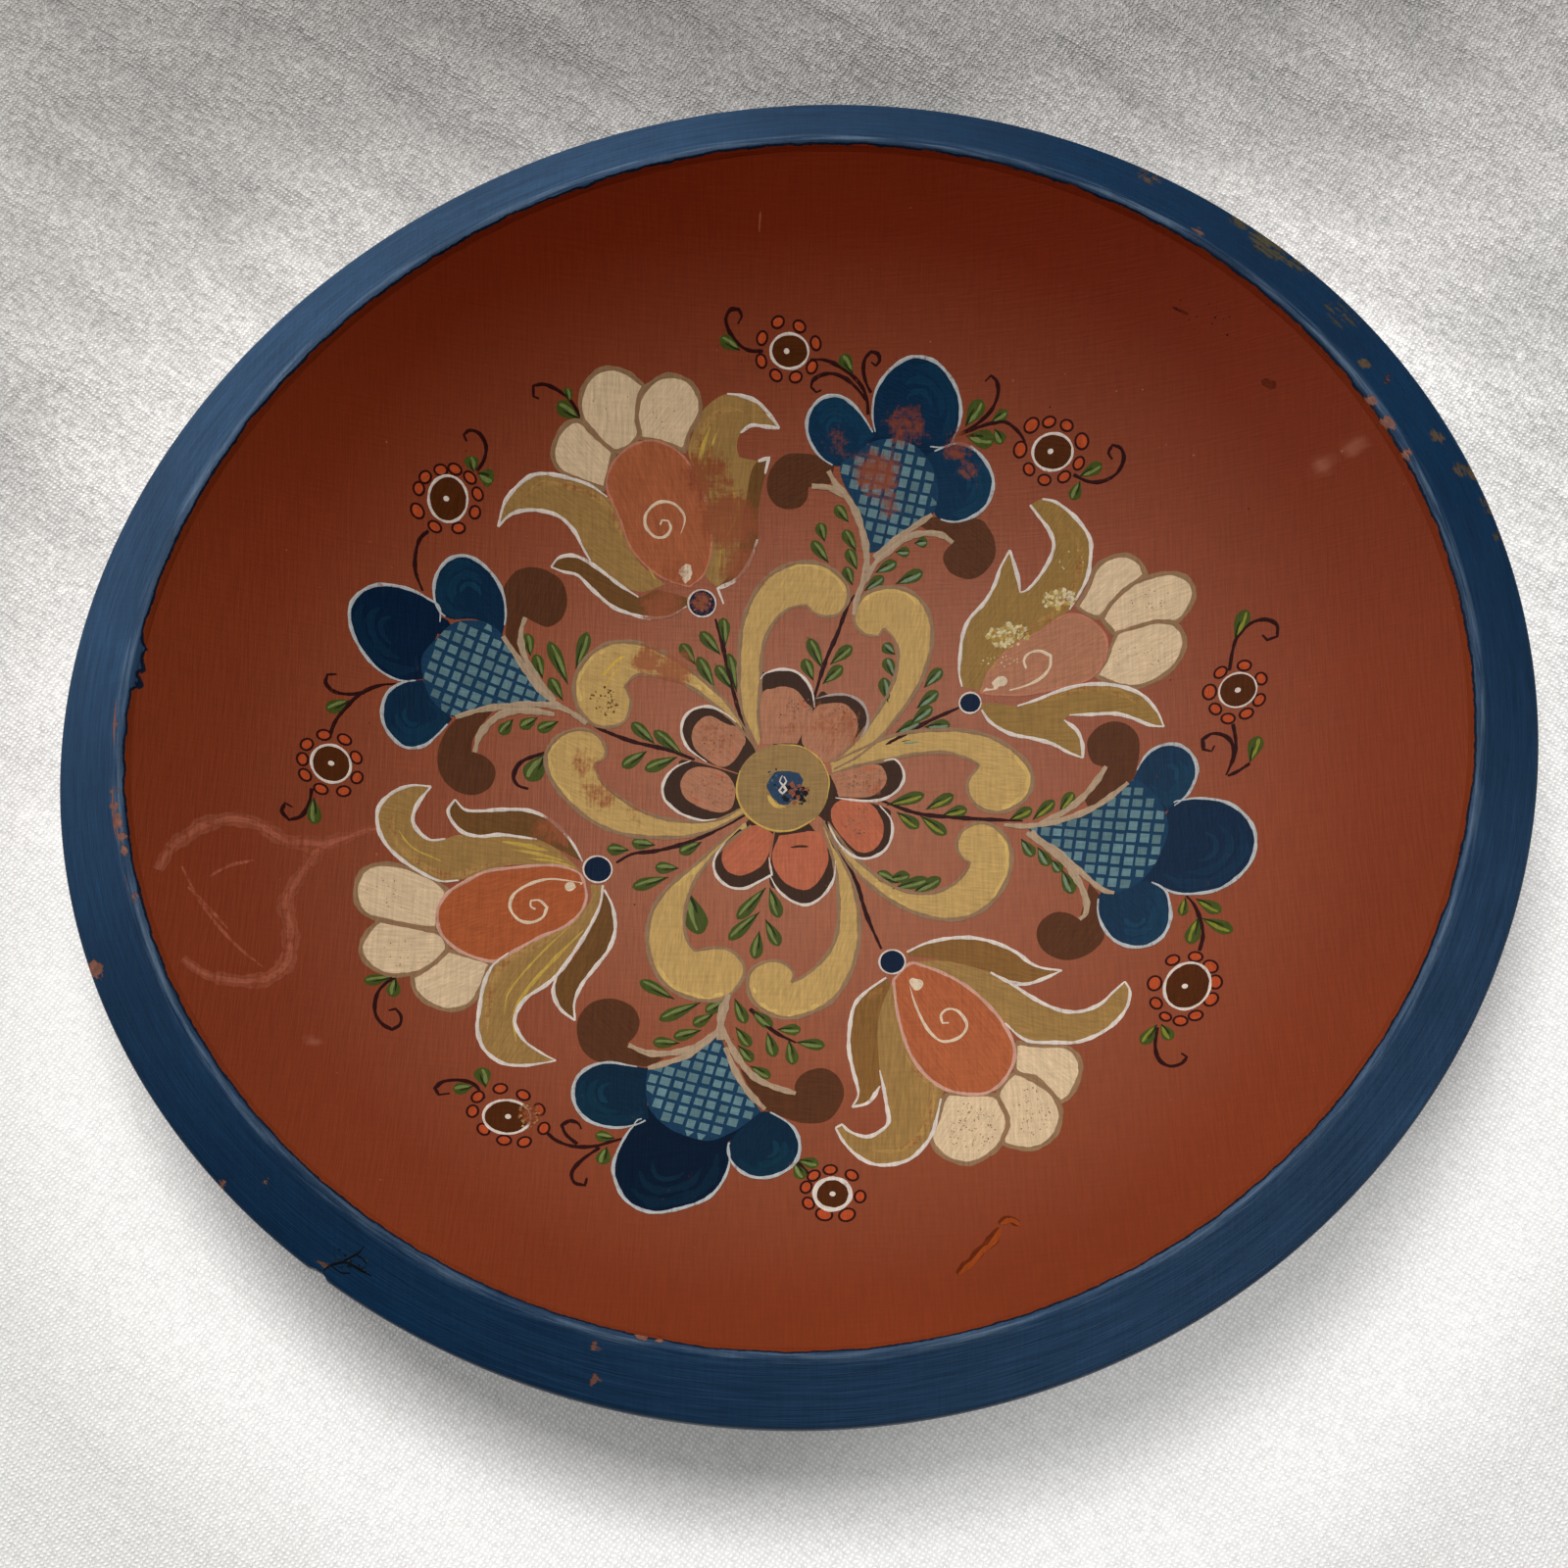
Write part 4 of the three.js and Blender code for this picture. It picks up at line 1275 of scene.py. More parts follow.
# By tulip: bits of paint lost or left on it, with their middle, radii, colours, number and size
TULIP_FLECKS = {
    1: [((-45, 86), (5, 5), FLECK_DARK, 14, 0.4), ((-31.5, 86), (5, 5), FLECK_DARK, 12, 0.4),
        ((-23.6, 42.7), (2.4, 2.4), FLECK_SALMON, 12, 1.1)],
    2: [((47.2, 34), (4.8, 2.8), FLECK_PALE, 150, 1.5), ((58.8, 41.6), (4, 2.2), FLECK_PALE, 110, 1.5),
        ((45, 28), (5, 1.6), FLECK_PALE, 30, 0.6), ((62, 50), (5, 3), FLECK_PALE, 16, 0.5),
        ((78, 39), (7, 3), FLECK_DARK, 30, 0.4), ((76, 27), (7, 4), FLECK_DARK, 34, 0.4)],
    3: [((49, -82), (4, 6), FLECK_DARK, 70, 0.45), ((36, -85), (5.4, 6), FLECK_DARK, 110, 0.45)],
    4: [((-90, -32), (6, 4), FLECK_DARK, 24, 0.4), ((-87, -46), (6, 4), FLECK_DARK, 22, 0.4)],
}


# How far the light stroke on a tulip's leaf stays from the leaf's edge
LEAF_LIGHT_MARGIN = 0.9


def tulip(number, petals, leaves, edges, heart, heart_tone, spiral, drop, bud, bud_radius):
    """A tulip: cream petals, olive leaves with white edges, a salmon heart with a white curl, a blue bud."""
    m = Motif(f"tulip_{number}")
    for outline, tone in leaves:
        m.fill(outline, tone, 1, 0.11)
        ring = curve_through(outline, closed=True, step=3)
        inner = drawn_in(ring, 0.84)[: len(ring) // 2]
        inner = longest_run(inner, inside(ring, inner) & (distance_to(ring, inner) > LEAF_LIGHT_MARGIN))
        if len(inner) > 2:
            m.line(inner, 1.6, tuple(1.2 * c for c in tone), 3, (0.1, 0.1), 0.05, 0.12)
    for petal in petals:
        m.fill(petal, CREAM, 1, 0.2)
        m.line(petal + petal[:1], 1.15, CREAM_EDGE, 2, (0.9, 0.9), 0.08)
    m.fill(heart, heart_tone, 3, 0.14)
    width, edge_tone = (0.75, HEART_EDGE) if number > 2 else (0.55, SALMON_PALE)
    m.line(heart + heart[:1], width, edge_tone, 4, (0.8, 0.8), 0.07)
    for edge in edges:
        m.line(edge, 0.85, WHITE, 4, (0.5, 0.4))
    m.line(spiral, 0.8, WHITE_WARM, 5, (0.3, 0.7))
    m.fill(drop, WHITE_WARM, 5, 0.14)
    m.round(bud, (bud_radius, bud_radius), DEEP_BLUE, 4)
    m.ring(bud, (bud_radius + 0.2, bud_radius + 0.2), 0.4, WHITE, 6, height=0.08)
    for streak, width in STREAKS.get(number, []):
        m.line(streak, width, PALE_OLIVE, 3, (0.2, 0.2), 0.04)
    for centre, radii, tones, count, size in TULIP_FLECKS.get(number, []):
        m.flecks(centre, radii, tones, count, size, 5)
    return m.paint()


def teardrop(tip, end, radius):
    """A drop from a pointed tip to a round end."""
    tip, end = np.array(tip, float), np.array(end, float)
    along = (end - tip) / np.hypot(*(end - tip))
    aside = np.array([-along[1], along[0]])
    centre = end - along * radius
    angles = np.radians([-110, -65, -20, 20, 65, 110])
    round_end = [centre + radius * (along * math.cos(a) + aside * math.sin(a)) for a in angles]
    return [tuple(point) for point in [tip, *round_end]]


def tulips():
    """The four tulips, from the upper left round to the lower left."""
    heart = [(-26.5, 46.5), (-33, 48.5), (-39.5, 54), (-43, 62), (-45.7, 68.5), (-44, 74), (-39.5, 78),
             (-34.5, 79.2), (-29, 77), (-25, 72), (-22.5, 65), (-21.5, 57), (-23, 50)]
    upper1 = [(-70.3, 56.9), (-68.9, 62.4), (-66.1, 66.3), (-62.8, 69.1), (-58.9, 69.9), (-53.9, 69.4),
              (-49.4, 68.3), (-45.6, 66.1), (-42.8, 62.4), (-40.6, 56.9), (-38.3, 51.9), (-32.2, 46.9)]
    lower1 = [(-70.3, 56.9), (-67.8, 59.7), (-65, 61.1), (-61.1, 61.6), (-56.7, 60.8), (-53.3, 58),
              (-51.1, 54.1), (-49.4, 51.3), (-45.6, 48.6), (-41.7, 45.8), (-37.2, 44.9), (-32.2, 46.9)]
    upper2 = [(-58.3, 49.1), (-56.7, 51.3), (-53.9, 52.2), (-51.1, 51.6), (-47.2, 49.4), (-42.8, 46.3),
              (-38.3, 43.6)]
    lower2 = [(-58.3, 49.1), (-55.6, 48.3), (-52.2, 47.7), (-48.9, 44.7), (-44.4, 41.1), (-40.6, 39.7),
              (-36.1, 38.8), (-31.1, 39.4), (-27.2, 41.9)]
    outer3 = [(-5.6, 83.1), (-7.5, 85.5), (-10.6, 88.6), (-14.4, 89.9), (-17.8, 90.2), (-21.1, 88.6),
              (-23.9, 85.8), (-25.6, 81.9), (-26.9, 77.4)]
    inner3 = [(-5.6, 83.1), (-8.9, 83.4), (-12.2, 83.6), (-14.7, 81.9), (-15.6, 79.1), (-15, 76.6)]
    along_heart = [(-25, 72), (-22.5, 65), (-21.5, 57), (-23, 50), (-20, 46.5)]
    right4 = [(-8.1, 76.6), (-9.2, 71.9), (-10, 68.6), (-10.6, 63.6), (-10.8, 58), (-12.8, 52.4),
              (-16.1, 48.3), (-20, 46.3), (-18.6, 42.7)]
    left4 = [(-10.6, 75.8), (-12.2, 73.6), (-13.3, 68), (-14.2, 62.4), (-15, 56.9), (-15.3, 52.4)]
    tulip(
        1,
        [[(-46.1, 67.7), (-50.6, 69.1), (-55, 70.2), (-57.5, 72.4), (-57.8, 75.8), (-56.1, 79.7),
          (-53.3, 81.9), (-51.1, 81.6), (-48.3, 79.1), (-43.9, 76.3), (-45, 73)],
         [(-51.1, 82.4), (-51.7, 85.8), (-50.6, 89.7), (-47.8, 92.7), (-44.4, 93.8), (-40.6, 93),
          (-37.2, 90.8), (-38.3, 88), (-38.6, 84.1), (-38.3, 80.2), (-41.7, 76.9), (-45, 76.6),
          (-48.3, 79.7)],
         [(-38.1, 79.7), (-38.9, 84.1), (-38.1, 88), (-36.1, 90.8), (-32.8, 93), (-29.4, 93.3), (-26.1, 91.9),
          (-24.2, 88.6), (-24.4, 85.2), (-26.7, 81.3), (-27.8, 77.4), (-31.7, 78.8)]],
        [(closed_by(upper1, lower1[::-1]), OLIVE),
         (closed_by(upper2, [(-34, 45.5), (-27.2, 44)], lower2[::-1]), LEAF_BROWN),
         (closed_by(outer3, along_heart, left4[::-1], inner3[::-1]), OLIVE),
         (closed_by(right4[:-1], left4[::-1]), LEAF_BROWN)],
        [upper1[:8], lower1[:8], upper2, lower2, outer3[:5], inner3[:4], [(-10.6, 75.8), (-8.1, 76.6),
                                                                          (-9, 73)],
         right4[4:]],
        heart, FADED_SALMON,
        [(-29, 58), (-27.9, 60.8), (-27.9, 63.2), (-30.4, 65.6), (-33.9, 65.6), (-36.6, 63), (-36.7, 60),
         (-34.6, 57.8), (-32.2, 58), (-30.9, 59.9), (-31.5, 61.6), (-32.9, 61.7), (-33.4, 60.6)],
        [(-25.8, 53.6), (-25.7, 49.5), (-27.5, 47.2), (-30, 50.5), (-28, 51.8)],
        (-23.6, 42.7), 3.0,
    )
    heart = [(40.5, 20.5), (43, 26), (48, 31.2), (54, 34.2), (60.5, 37.8), (65.5, 36.2), (69, 32), (69, 27),
             (65.5, 22.3), (58, 20.5), (51, 19.5), (45, 19.8)]
    outer1 = [(55.3, 64.9), (58.3, 63.9), (61.7, 61.1), (64.4, 57.8), (66.1, 54.4), (66.1, 50.6),
              (65.3, 46.1), (63.3, 42.2), (61.1, 38.9), (56.7, 36.1), (50, 32.2), (45, 28.9), (42.5, 25),
              (40.6, 21.1)]
    inner1 = [(52.5, 63.8), (54.4, 61.1), (56.7, 57.8), (57.8, 54.4), (56.9, 51.1), (54.4, 47.2),
              (51.7, 44.4), (50, 43.9)]
    left2 = [(47.8, 53.9), (45.6, 50), (44.2, 46.1), (41.9, 42.2), (38.3, 38.3), (36.7, 34.4), (36.1, 30),
             (35.8, 25.6), (36.4, 22.2)]
    right2 = [(47.8, 53.9), (48.9, 50), (49.7, 46.7), (50, 43.9)]
    upper3 = [(39.2, 18.1), (44.4, 17.8), (48.9, 16.9), (53.3, 18.1), (57.8, 19.7), (62.8, 20.8),
              (68.3, 20.6), (73.3, 19.2), (77.2, 16.7), (80, 12.8), (81.4, 8.9)]
    lower3 = [(81.4, 8.9), (78.3, 9.7), (74.4, 11.9), (70.6, 13.3), (65.6, 13.6), (60.6, 13.9)]
    lower4 = [(40.8, 16.4), (42.8, 13.3), (47.2, 10.3), (52.2, 8.9), (56.7, 7.2), (60, 5), (63.3, 3.3)]
    right4 = [(63.3, 3.3), (63.3, 6.7), (62.2, 10), (59.4, 12.8)]
    tulip(
        2,
        [[(62.8, 39.4), (65.6, 43.9), (67.2, 47.8), (70, 49.7), (73.9, 50), (76.9, 48.1), (78.3, 45),
          (75.6, 43.3), (71.1, 40), (68.3, 36.7), (65.6, 37.2)],
         [(68.3, 36.1), (70.6, 39.4), (74.4, 42.8), (78.9, 44.2), (83.3, 44.6), (86.7, 43.3), (88.6, 40.6),
          (88.3, 37.2), (85, 33.3), (80, 33.9), (75.6, 33.1), (71.1, 32.2)],
         [(71.7, 32.2), (76.1, 33.3), (81.1, 33.9), (84.4, 32.8), (86.4, 29.4), (85.8, 25.6), (83.3, 22.2),
          (79.4, 20), (75.6, 19.2), (71.1, 20.3), (66.7, 22.8), (68.9, 26.1)]],
        [(closed_by(outer1, left2[::-1], right2, inner1[::-1]), OLIVE_DARK),
         (closed_by(upper3, lower3, right4[::-1], lower4[::-1]), OLIVE_DARK)],
        [outer1[:9], inner1, left2, right2, upper3[2:], lower3, lower4, right4],
        heart, SALMON_DULL,
        [(47.2, 20.8), (51.1, 21.7), (54.4, 23.3), (56.4, 25.6), (56.7, 28.3), (54.4, 29.7), (51.9, 29.4),
         (50.6, 27.8), (51.1, 25.8)],
        teardrop((41.1, 20.8), (46.9, 23.9), 1.7),
        (38.2, 18.2), 2.3,
    )
    heart = [(19.9, -48.5), (20.5, -55.4), (21.6, -61), (23.3, -66.6), (26.3, -71.6), (30.2, -75.2),
             (34.1, -76.6), (38.6, -77), (41.9, -75.4), (44.1, -72.7), (45.8, -68.8), (45.5, -64.3),
             (43, -58.8), (39.7, -54.3), (35.8, -50.4), (30.8, -47.1), (26.9, -45.4), (23.6, -44.6)]
    upper1 = [(23, -41.8), (26.9, -39.9), (31.9, -38.8), (37.4, -38.8), (42.4, -40.2), (46.9, -42.7),
              (50.2, -45.7), (53, -47.1), (56.9, -47.9)]
    lower1 = [(23.3, -42.7), (26.9, -43.2), (31.9, -44.3), (36.9, -45.7), (41.3, -47.4), (45.2, -49.9),
              (49.1, -50.7), (53, -49.6), (56.9, -47.9)]
    upper2 = [(45.2, -49.9), (49.1, -53.2), (53, -56), (56.9, -57.9), (60.8, -58.2), (64.7, -56.8),
              (67.4, -54.3), (70.2, -51.8)]
    lower2 = [(70.2, -51.8), (71.1, -54.3), (70.2, -58.2), (67.4, -61.8), (63.6, -64.3), (59.1, -65.7),
              (54.7, -65.4), (49.7, -64.9), (46.9, -63.2), (44.1, -59.9), (39.7, -54.3), (34.1, -48.8),
              (28, -45.7)]
    outer3 = [(6.9, -84.3), (8.6, -87.7), (11.3, -91), (14.7, -93.2), (18.6, -93.5), (22.4, -92.4),
              (25.2, -89.9), (27.4, -86.6), (28.6, -82.7), (29.7, -77.7)]
    inner3 = [(6.9, -84.3), (8.3, -83.5), (10.2, -85.4), (13.6, -86.6), (16.3, -85.4), (18.3, -83.2),
              (18, -79.3), (17.4, -74.9), (16.6, -70.4), (16.3, -64.9), (16.3, -59.9), (17.2, -54.9),
              (19.1, -49.9)]
    left4 = [(18.3, -47.9), (14.1, -51), (11.3, -54.3), (10.2, -59.3), (9.9, -64.9), (10.8, -70.4),
             (11.9, -76), (10.5, -79.3)]
    right4 = [(10.5, -79.3), (14.1, -78.2), (16.6, -74.3)]
    tulip(
        3,
        [[(46.3, -64.9), (51.3, -66), (55.8, -66.3), (58.6, -68.2), (59.7, -71.6), (58.8, -75.4),
          (56.9, -78.8), (54.7, -80.2), (53, -77.1), (50.2, -73.8), (46.3, -72.1), (45.8, -69.3)],
         [(45.8, -72.1), (50.2, -74.9), (53.6, -78.2), (54.9, -82.7), (53.8, -87.1), (51.3, -89.9), (48, -91),
          (43.6, -89.9), (42.4, -88.2), (43.6, -83.8), (41.9, -78.2), (43, -74.9)],
         [(31.3, -76.6), (36.3, -77.1), (41.3, -77.7), (43.3, -81), (43.8, -84.9), (41.9, -89.3),
          (39.1, -92.1), (35.2, -93.8), (31.3, -92.7), (28.3, -89.9), (27.4, -86.6), (29.1, -82.1),
          (30.2, -78.2)]],
        [(closed_by(upper1, lower1[::-1]), LEAF_TAN),
         (closed_by([(24, -44.2), (31.9, -44.3), (41.3, -47.4)], upper2, lower2), OLIVE),
         (closed_by(outer3, heart[:6][::-1], inner3[::-1]), OLIVE),
         (closed_by(left4, right4, inner3[8:]), LEAF_TAN)],
        [upper1, lower1[4:], [(41.3, -47.4)] + upper2, lower2[:10], outer3, inner3[:9], left4, right4],
        heart, HEART_BRIGHT,
        [(23.3, -49.3), (24.4, -53.8), (25.8, -57.7), (27.4, -61), (29.7, -63.5), (31.9, -63.8),
         (34.4, -62.7), (35.8, -60.4), (35.2, -58.2), (33.6, -56.3), (31.6, -56), (30.2, -57.4),
         (30.5, -59.3), (31.9, -59.3)],
        teardrop((22.4, -47.1), (26.4, -51), 1.7),
        (19.7, -44.1), 2.7,
    )
    heart = [(-49.3, -25.6), (-50.7, -23.3), (-55.1, -21.9), (-60.1, -22.2), (-65.1, -23.1), (-70.7, -24.4),
             (-75.1, -27.2), (-79, -30.6), (-80.9, -35), (-80.1, -40), (-76.8, -43.6), (-72.3, -45.6),
             (-67.9, -46.1), (-64, -43.3), (-58.4, -39.4), (-53.4, -36.7), (-50.1, -33.3), (-48.7, -29.4)]
    outer1 = [(-83.7, -5.3), (-87.9, -5.6), (-91.8, -7.8), (-94.6, -11.7), (-94.6, -16.1), (-92.9, -20),
              (-89.6, -23.3), (-85.1, -26.1), (-80.7, -27.8), (-76.8, -27.2), (-70.7, -24.4), (-64, -22.2),
              (-50.1, -22.8)]
    inner1 = [(-83.7, -5.3), (-86.2, -9.4), (-87.3, -13.3), (-86.2, -16.1), (-83.4, -18.1), (-80.1, -17.5),
              (-76.8, -16.1), (-68.4, -15.8), (-64, -15.6), (-59.6, -15.8), (-55.1, -18.3), (-50.1, -22.8)]
    upper2 = [(-78.4, -7.8), (-76.2, -10), (-72.9, -10), (-67.9, -9.2), (-62.9, -8.9), (-59, -10),
              (-55.7, -12.2), (-52.3, -16.1), (-49.8, -20.6)]
    lower2 = [(-78.4, -7.8), (-79.8, -10.6), (-78.7, -13.3), (-76.2, -15.6), (-72.3, -16.1), (-67.9, -15.3),
              (-60.1, -15.8)]
    outer3 = [(-47.9, -26.1), (-48.4, -31.1), (-57.9, -38.9), (-65.1, -43.9), (-68.4, -47.2), (-70.1, -52.2),
              (-70.7, -58.9), (-70.7, -63.3), (-69, -67.8), (-65.1, -70.8), (-60.7, -71.1), (-56.8, -70.3),
              (-53.7, -69.4)]
    inner3 = [(-45.1, -26.1), (-45.7, -31.1), (-47.9, -36.7), (-50.7, -42.2), (-54, -47.8), (-56.8, -51.1),
              (-60.7, -54.4), (-62.6, -57.8), (-62.9, -61.1), (-60.7, -65), (-56.8, -67.8), (-53.7, -69.4)]
    right4 = [(-44.8, -27.2), (-42.9, -31.1), (-42.1, -36.7), (-43.4, -41.7), (-46.2, -46.1), (-49, -50.6),
              (-50.4, -55), (-50.1, -59.4)]
    left4 = [(-45.4, -31.7), (-47.9, -37.8), (-51.2, -44.4), (-54.6, -48.9), (-55.1, -52.8), (-53.4, -56.7),
             (-50.1, -59.4)]
    tulip(
        4,
        [[(-79, -30), (-82.9, -27.2), (-89, -25.3), (-93.4, -25.3), (-96.8, -27.2), (-98.2, -31.1),
          (-97.6, -35.6), (-95.1, -38.1), (-90.1, -38.9), (-84.6, -39.4), (-80.9, -39.2)],
         [(-92.9, -38.9), (-95.1, -42.2), (-96.2, -46.1), (-94.8, -49.4), (-90.7, -51.7), (-85.7, -51.1),
          (-81.8, -48.9), (-78.4, -44.4), (-80.1, -40.6), (-85.7, -39.7)],
         [(-78.4, -44.4), (-81.8, -48.9), (-85.1, -51.7), (-84.3, -55), (-81.2, -57.8), (-76.8, -58.9),
          (-72.9, -57.2), (-70.7, -53.3), (-69.6, -48.9), (-68.4, -46.7), (-72.9, -45.6)]],
        [(closed_by(outer1, inner1[::-1]), OLIVE),
         (closed_by(upper2, lower2[::-1]), LEAF_BROWN),
         (closed_by(outer3, inner3[::-1]), OLIVE),
         (closed_by(right4, left4[::-1]), LEAF_BROWN)],
        [outer1[:10], inner1[:6], upper2, lower2, outer3[3:], inner3, right4, left4[3:]],
        heart, HEART_BROWN,
        [(-49.6, -25.8), (-54, -25.3), (-57.3, -25.3), (-61.2, -26.7), (-64.6, -29.4), (-65.4, -32.8),
         (-63.4, -35.6), (-60.7, -36.1), (-58.2, -34.7), (-57.3, -32.2), (-59, -30.6), (-60.9, -30.8),
         (-60.9, -32.2), (-59.8, -32.8)],
        teardrop((-49.6, -25.8), (-54, -27.7), 1.6),
        (-46.4, -22.3), 3.0,
    )


# How far the white edge of a petal stays from the bell
PETAL_EDGE_GAP = 1.7

# Touches of blue that close the gaps between the petals and the bells, by flower: centre and radii
BELL_BACKS = {
    1: [((27.6, 79.2), (4.6, 3)), ((18.5, 81), (4, 2.4)), ((30.4, 77.4), (2.2, 2.4))],
    2: [((80.3, -9.7), (1.8, 2)), ((76, -27.6), (1.8, 1.8))],
    3: [((-32.2, -81.8), (2.4, 3)), ((-14.4, -85.2), (2.8, 2.6))],
    4: [((-82.5, 32.7), (2, 2))],
}


# The woven cells of a bell: how far apart, half their size, and how many rows to each side are tried
CELL_PITCH = 2.75
CELL_HALF = 0.98
CELL_REACH = 9
CELL_SLANT = 0.012
CELL_SHIFT = 0.13
CELL_CORNERS = ((-1, -1), (1, -1), (1, 1), (-1, 1))


def woven_cells(ring, axis, rng):
    """The light cells between a bell's blue threads, cut back where they reach its edge, and their tones."""
    centre = ring.mean(0)
    turn = math.radians(axis)
    along = np.array([math.cos(turn), math.sin(turn)])
    across = np.array([-math.sin(turn), math.cos(turn)])
    rows = range(-CELL_REACH, CELL_REACH + 1)
    shares = np.array([1, 0.8, 0.6, 0.4, 0.2])
    quads, tones = [], []
    for i, k in [(i, k) for i in rows for k in rows]:
        aside = CELL_PITCH * k + CELL_SLANT * i * k * CELL_PITCH
        middle = centre + along * CELL_PITCH * i + across * aside + rng.uniform(-CELL_SHIFT, CELL_SHIFT, 2)
        a, b = CELL_HALF * rng.uniform(0.86, 1.12, 2)
        reaches = np.array([along * p * a + across * q * b for p, q in CELL_CORNERS])
        held = inside(ring, (middle + shares[:, None, None] * reaches).reshape(-1, 2)).reshape(-1, 4)
        if not held.any(0).all() or held[:3].sum() < 5:
            continue
        quads.append(middle + shares[held.argmax(0)][:, None] * reaches)
        tones.append(np.array(BELL_GREEN) * rng.uniform(0.85, 1.2))
    return quads, tones


def bell_flower(number, bell, axis, petals, commas, ribs, leaves, tendrils=()):
    """A bell with a woven look, three deep blue petals behind it and two brown commas beside it."""
    m = Motif(f"bell_flower_{number}")
    blue = PETAL_BLUES[number - 1]
    for light, group in leaves:
        for tip, base, width in group:
            m.leaf(tip, base, width, light)
    for tendril in tendrils:
        m.line(tendril, 0.85, MAROON, 2, (0.9, 0.5), 0.09)
    for comma in commas:
        m.fill(comma, COMMA_BROWN, 1, 0.1)
    for centre, radii in BELL_BACKS.get(number, []):
        m.round(centre, radii, blue, 1, 0, 0.05)
    bell_ring = curve_through(bell, closed=True)
    for petal in petals:
        ring = curve_through(petal, closed=True, step=2.5)
        light = float(np.clip((25 - np.ptp(ring, 0).max()) / 7, 0.4, 1))
        m.fill(petal, tuple(blue + SMALL_PETAL_LIGHT * (light - 0.4)), 2, 0.12)
        for share, width, strength in ((0.78, 2.6, 0.6), (0.54, 2.2, 0.7), (0.3, 1.4, 0.9)):
            start = int(share * 10)
            swirl = drawn_in(ring, share)[start: start + len(ring) * 3 // 5]
            tone = tuple(blue + PETAL_SWIRL * light * strength)
            m.line(swirl, width, tone, 4, (0.1, 0.1), 0.05, 0.02)
        edge = clear_run(curve_through(petal, closed=True), bell_ring, PETAL_EDGE_GAP)
        m.line(edge, 0.75, WHITE_BLUE, 5, (0.4, 0.4), wear=0.08)
    m.fill(bell, MID_BLUE, 5, 0.08)
    m.patches(*woven_cells(bell_ring, axis, np.random.default_rng(number)), 7)
    for rib, width in ribs:
        m.line(rib, width, BEIGE, 8, (0.6, 0.7), 0.14)
    return m.paint()


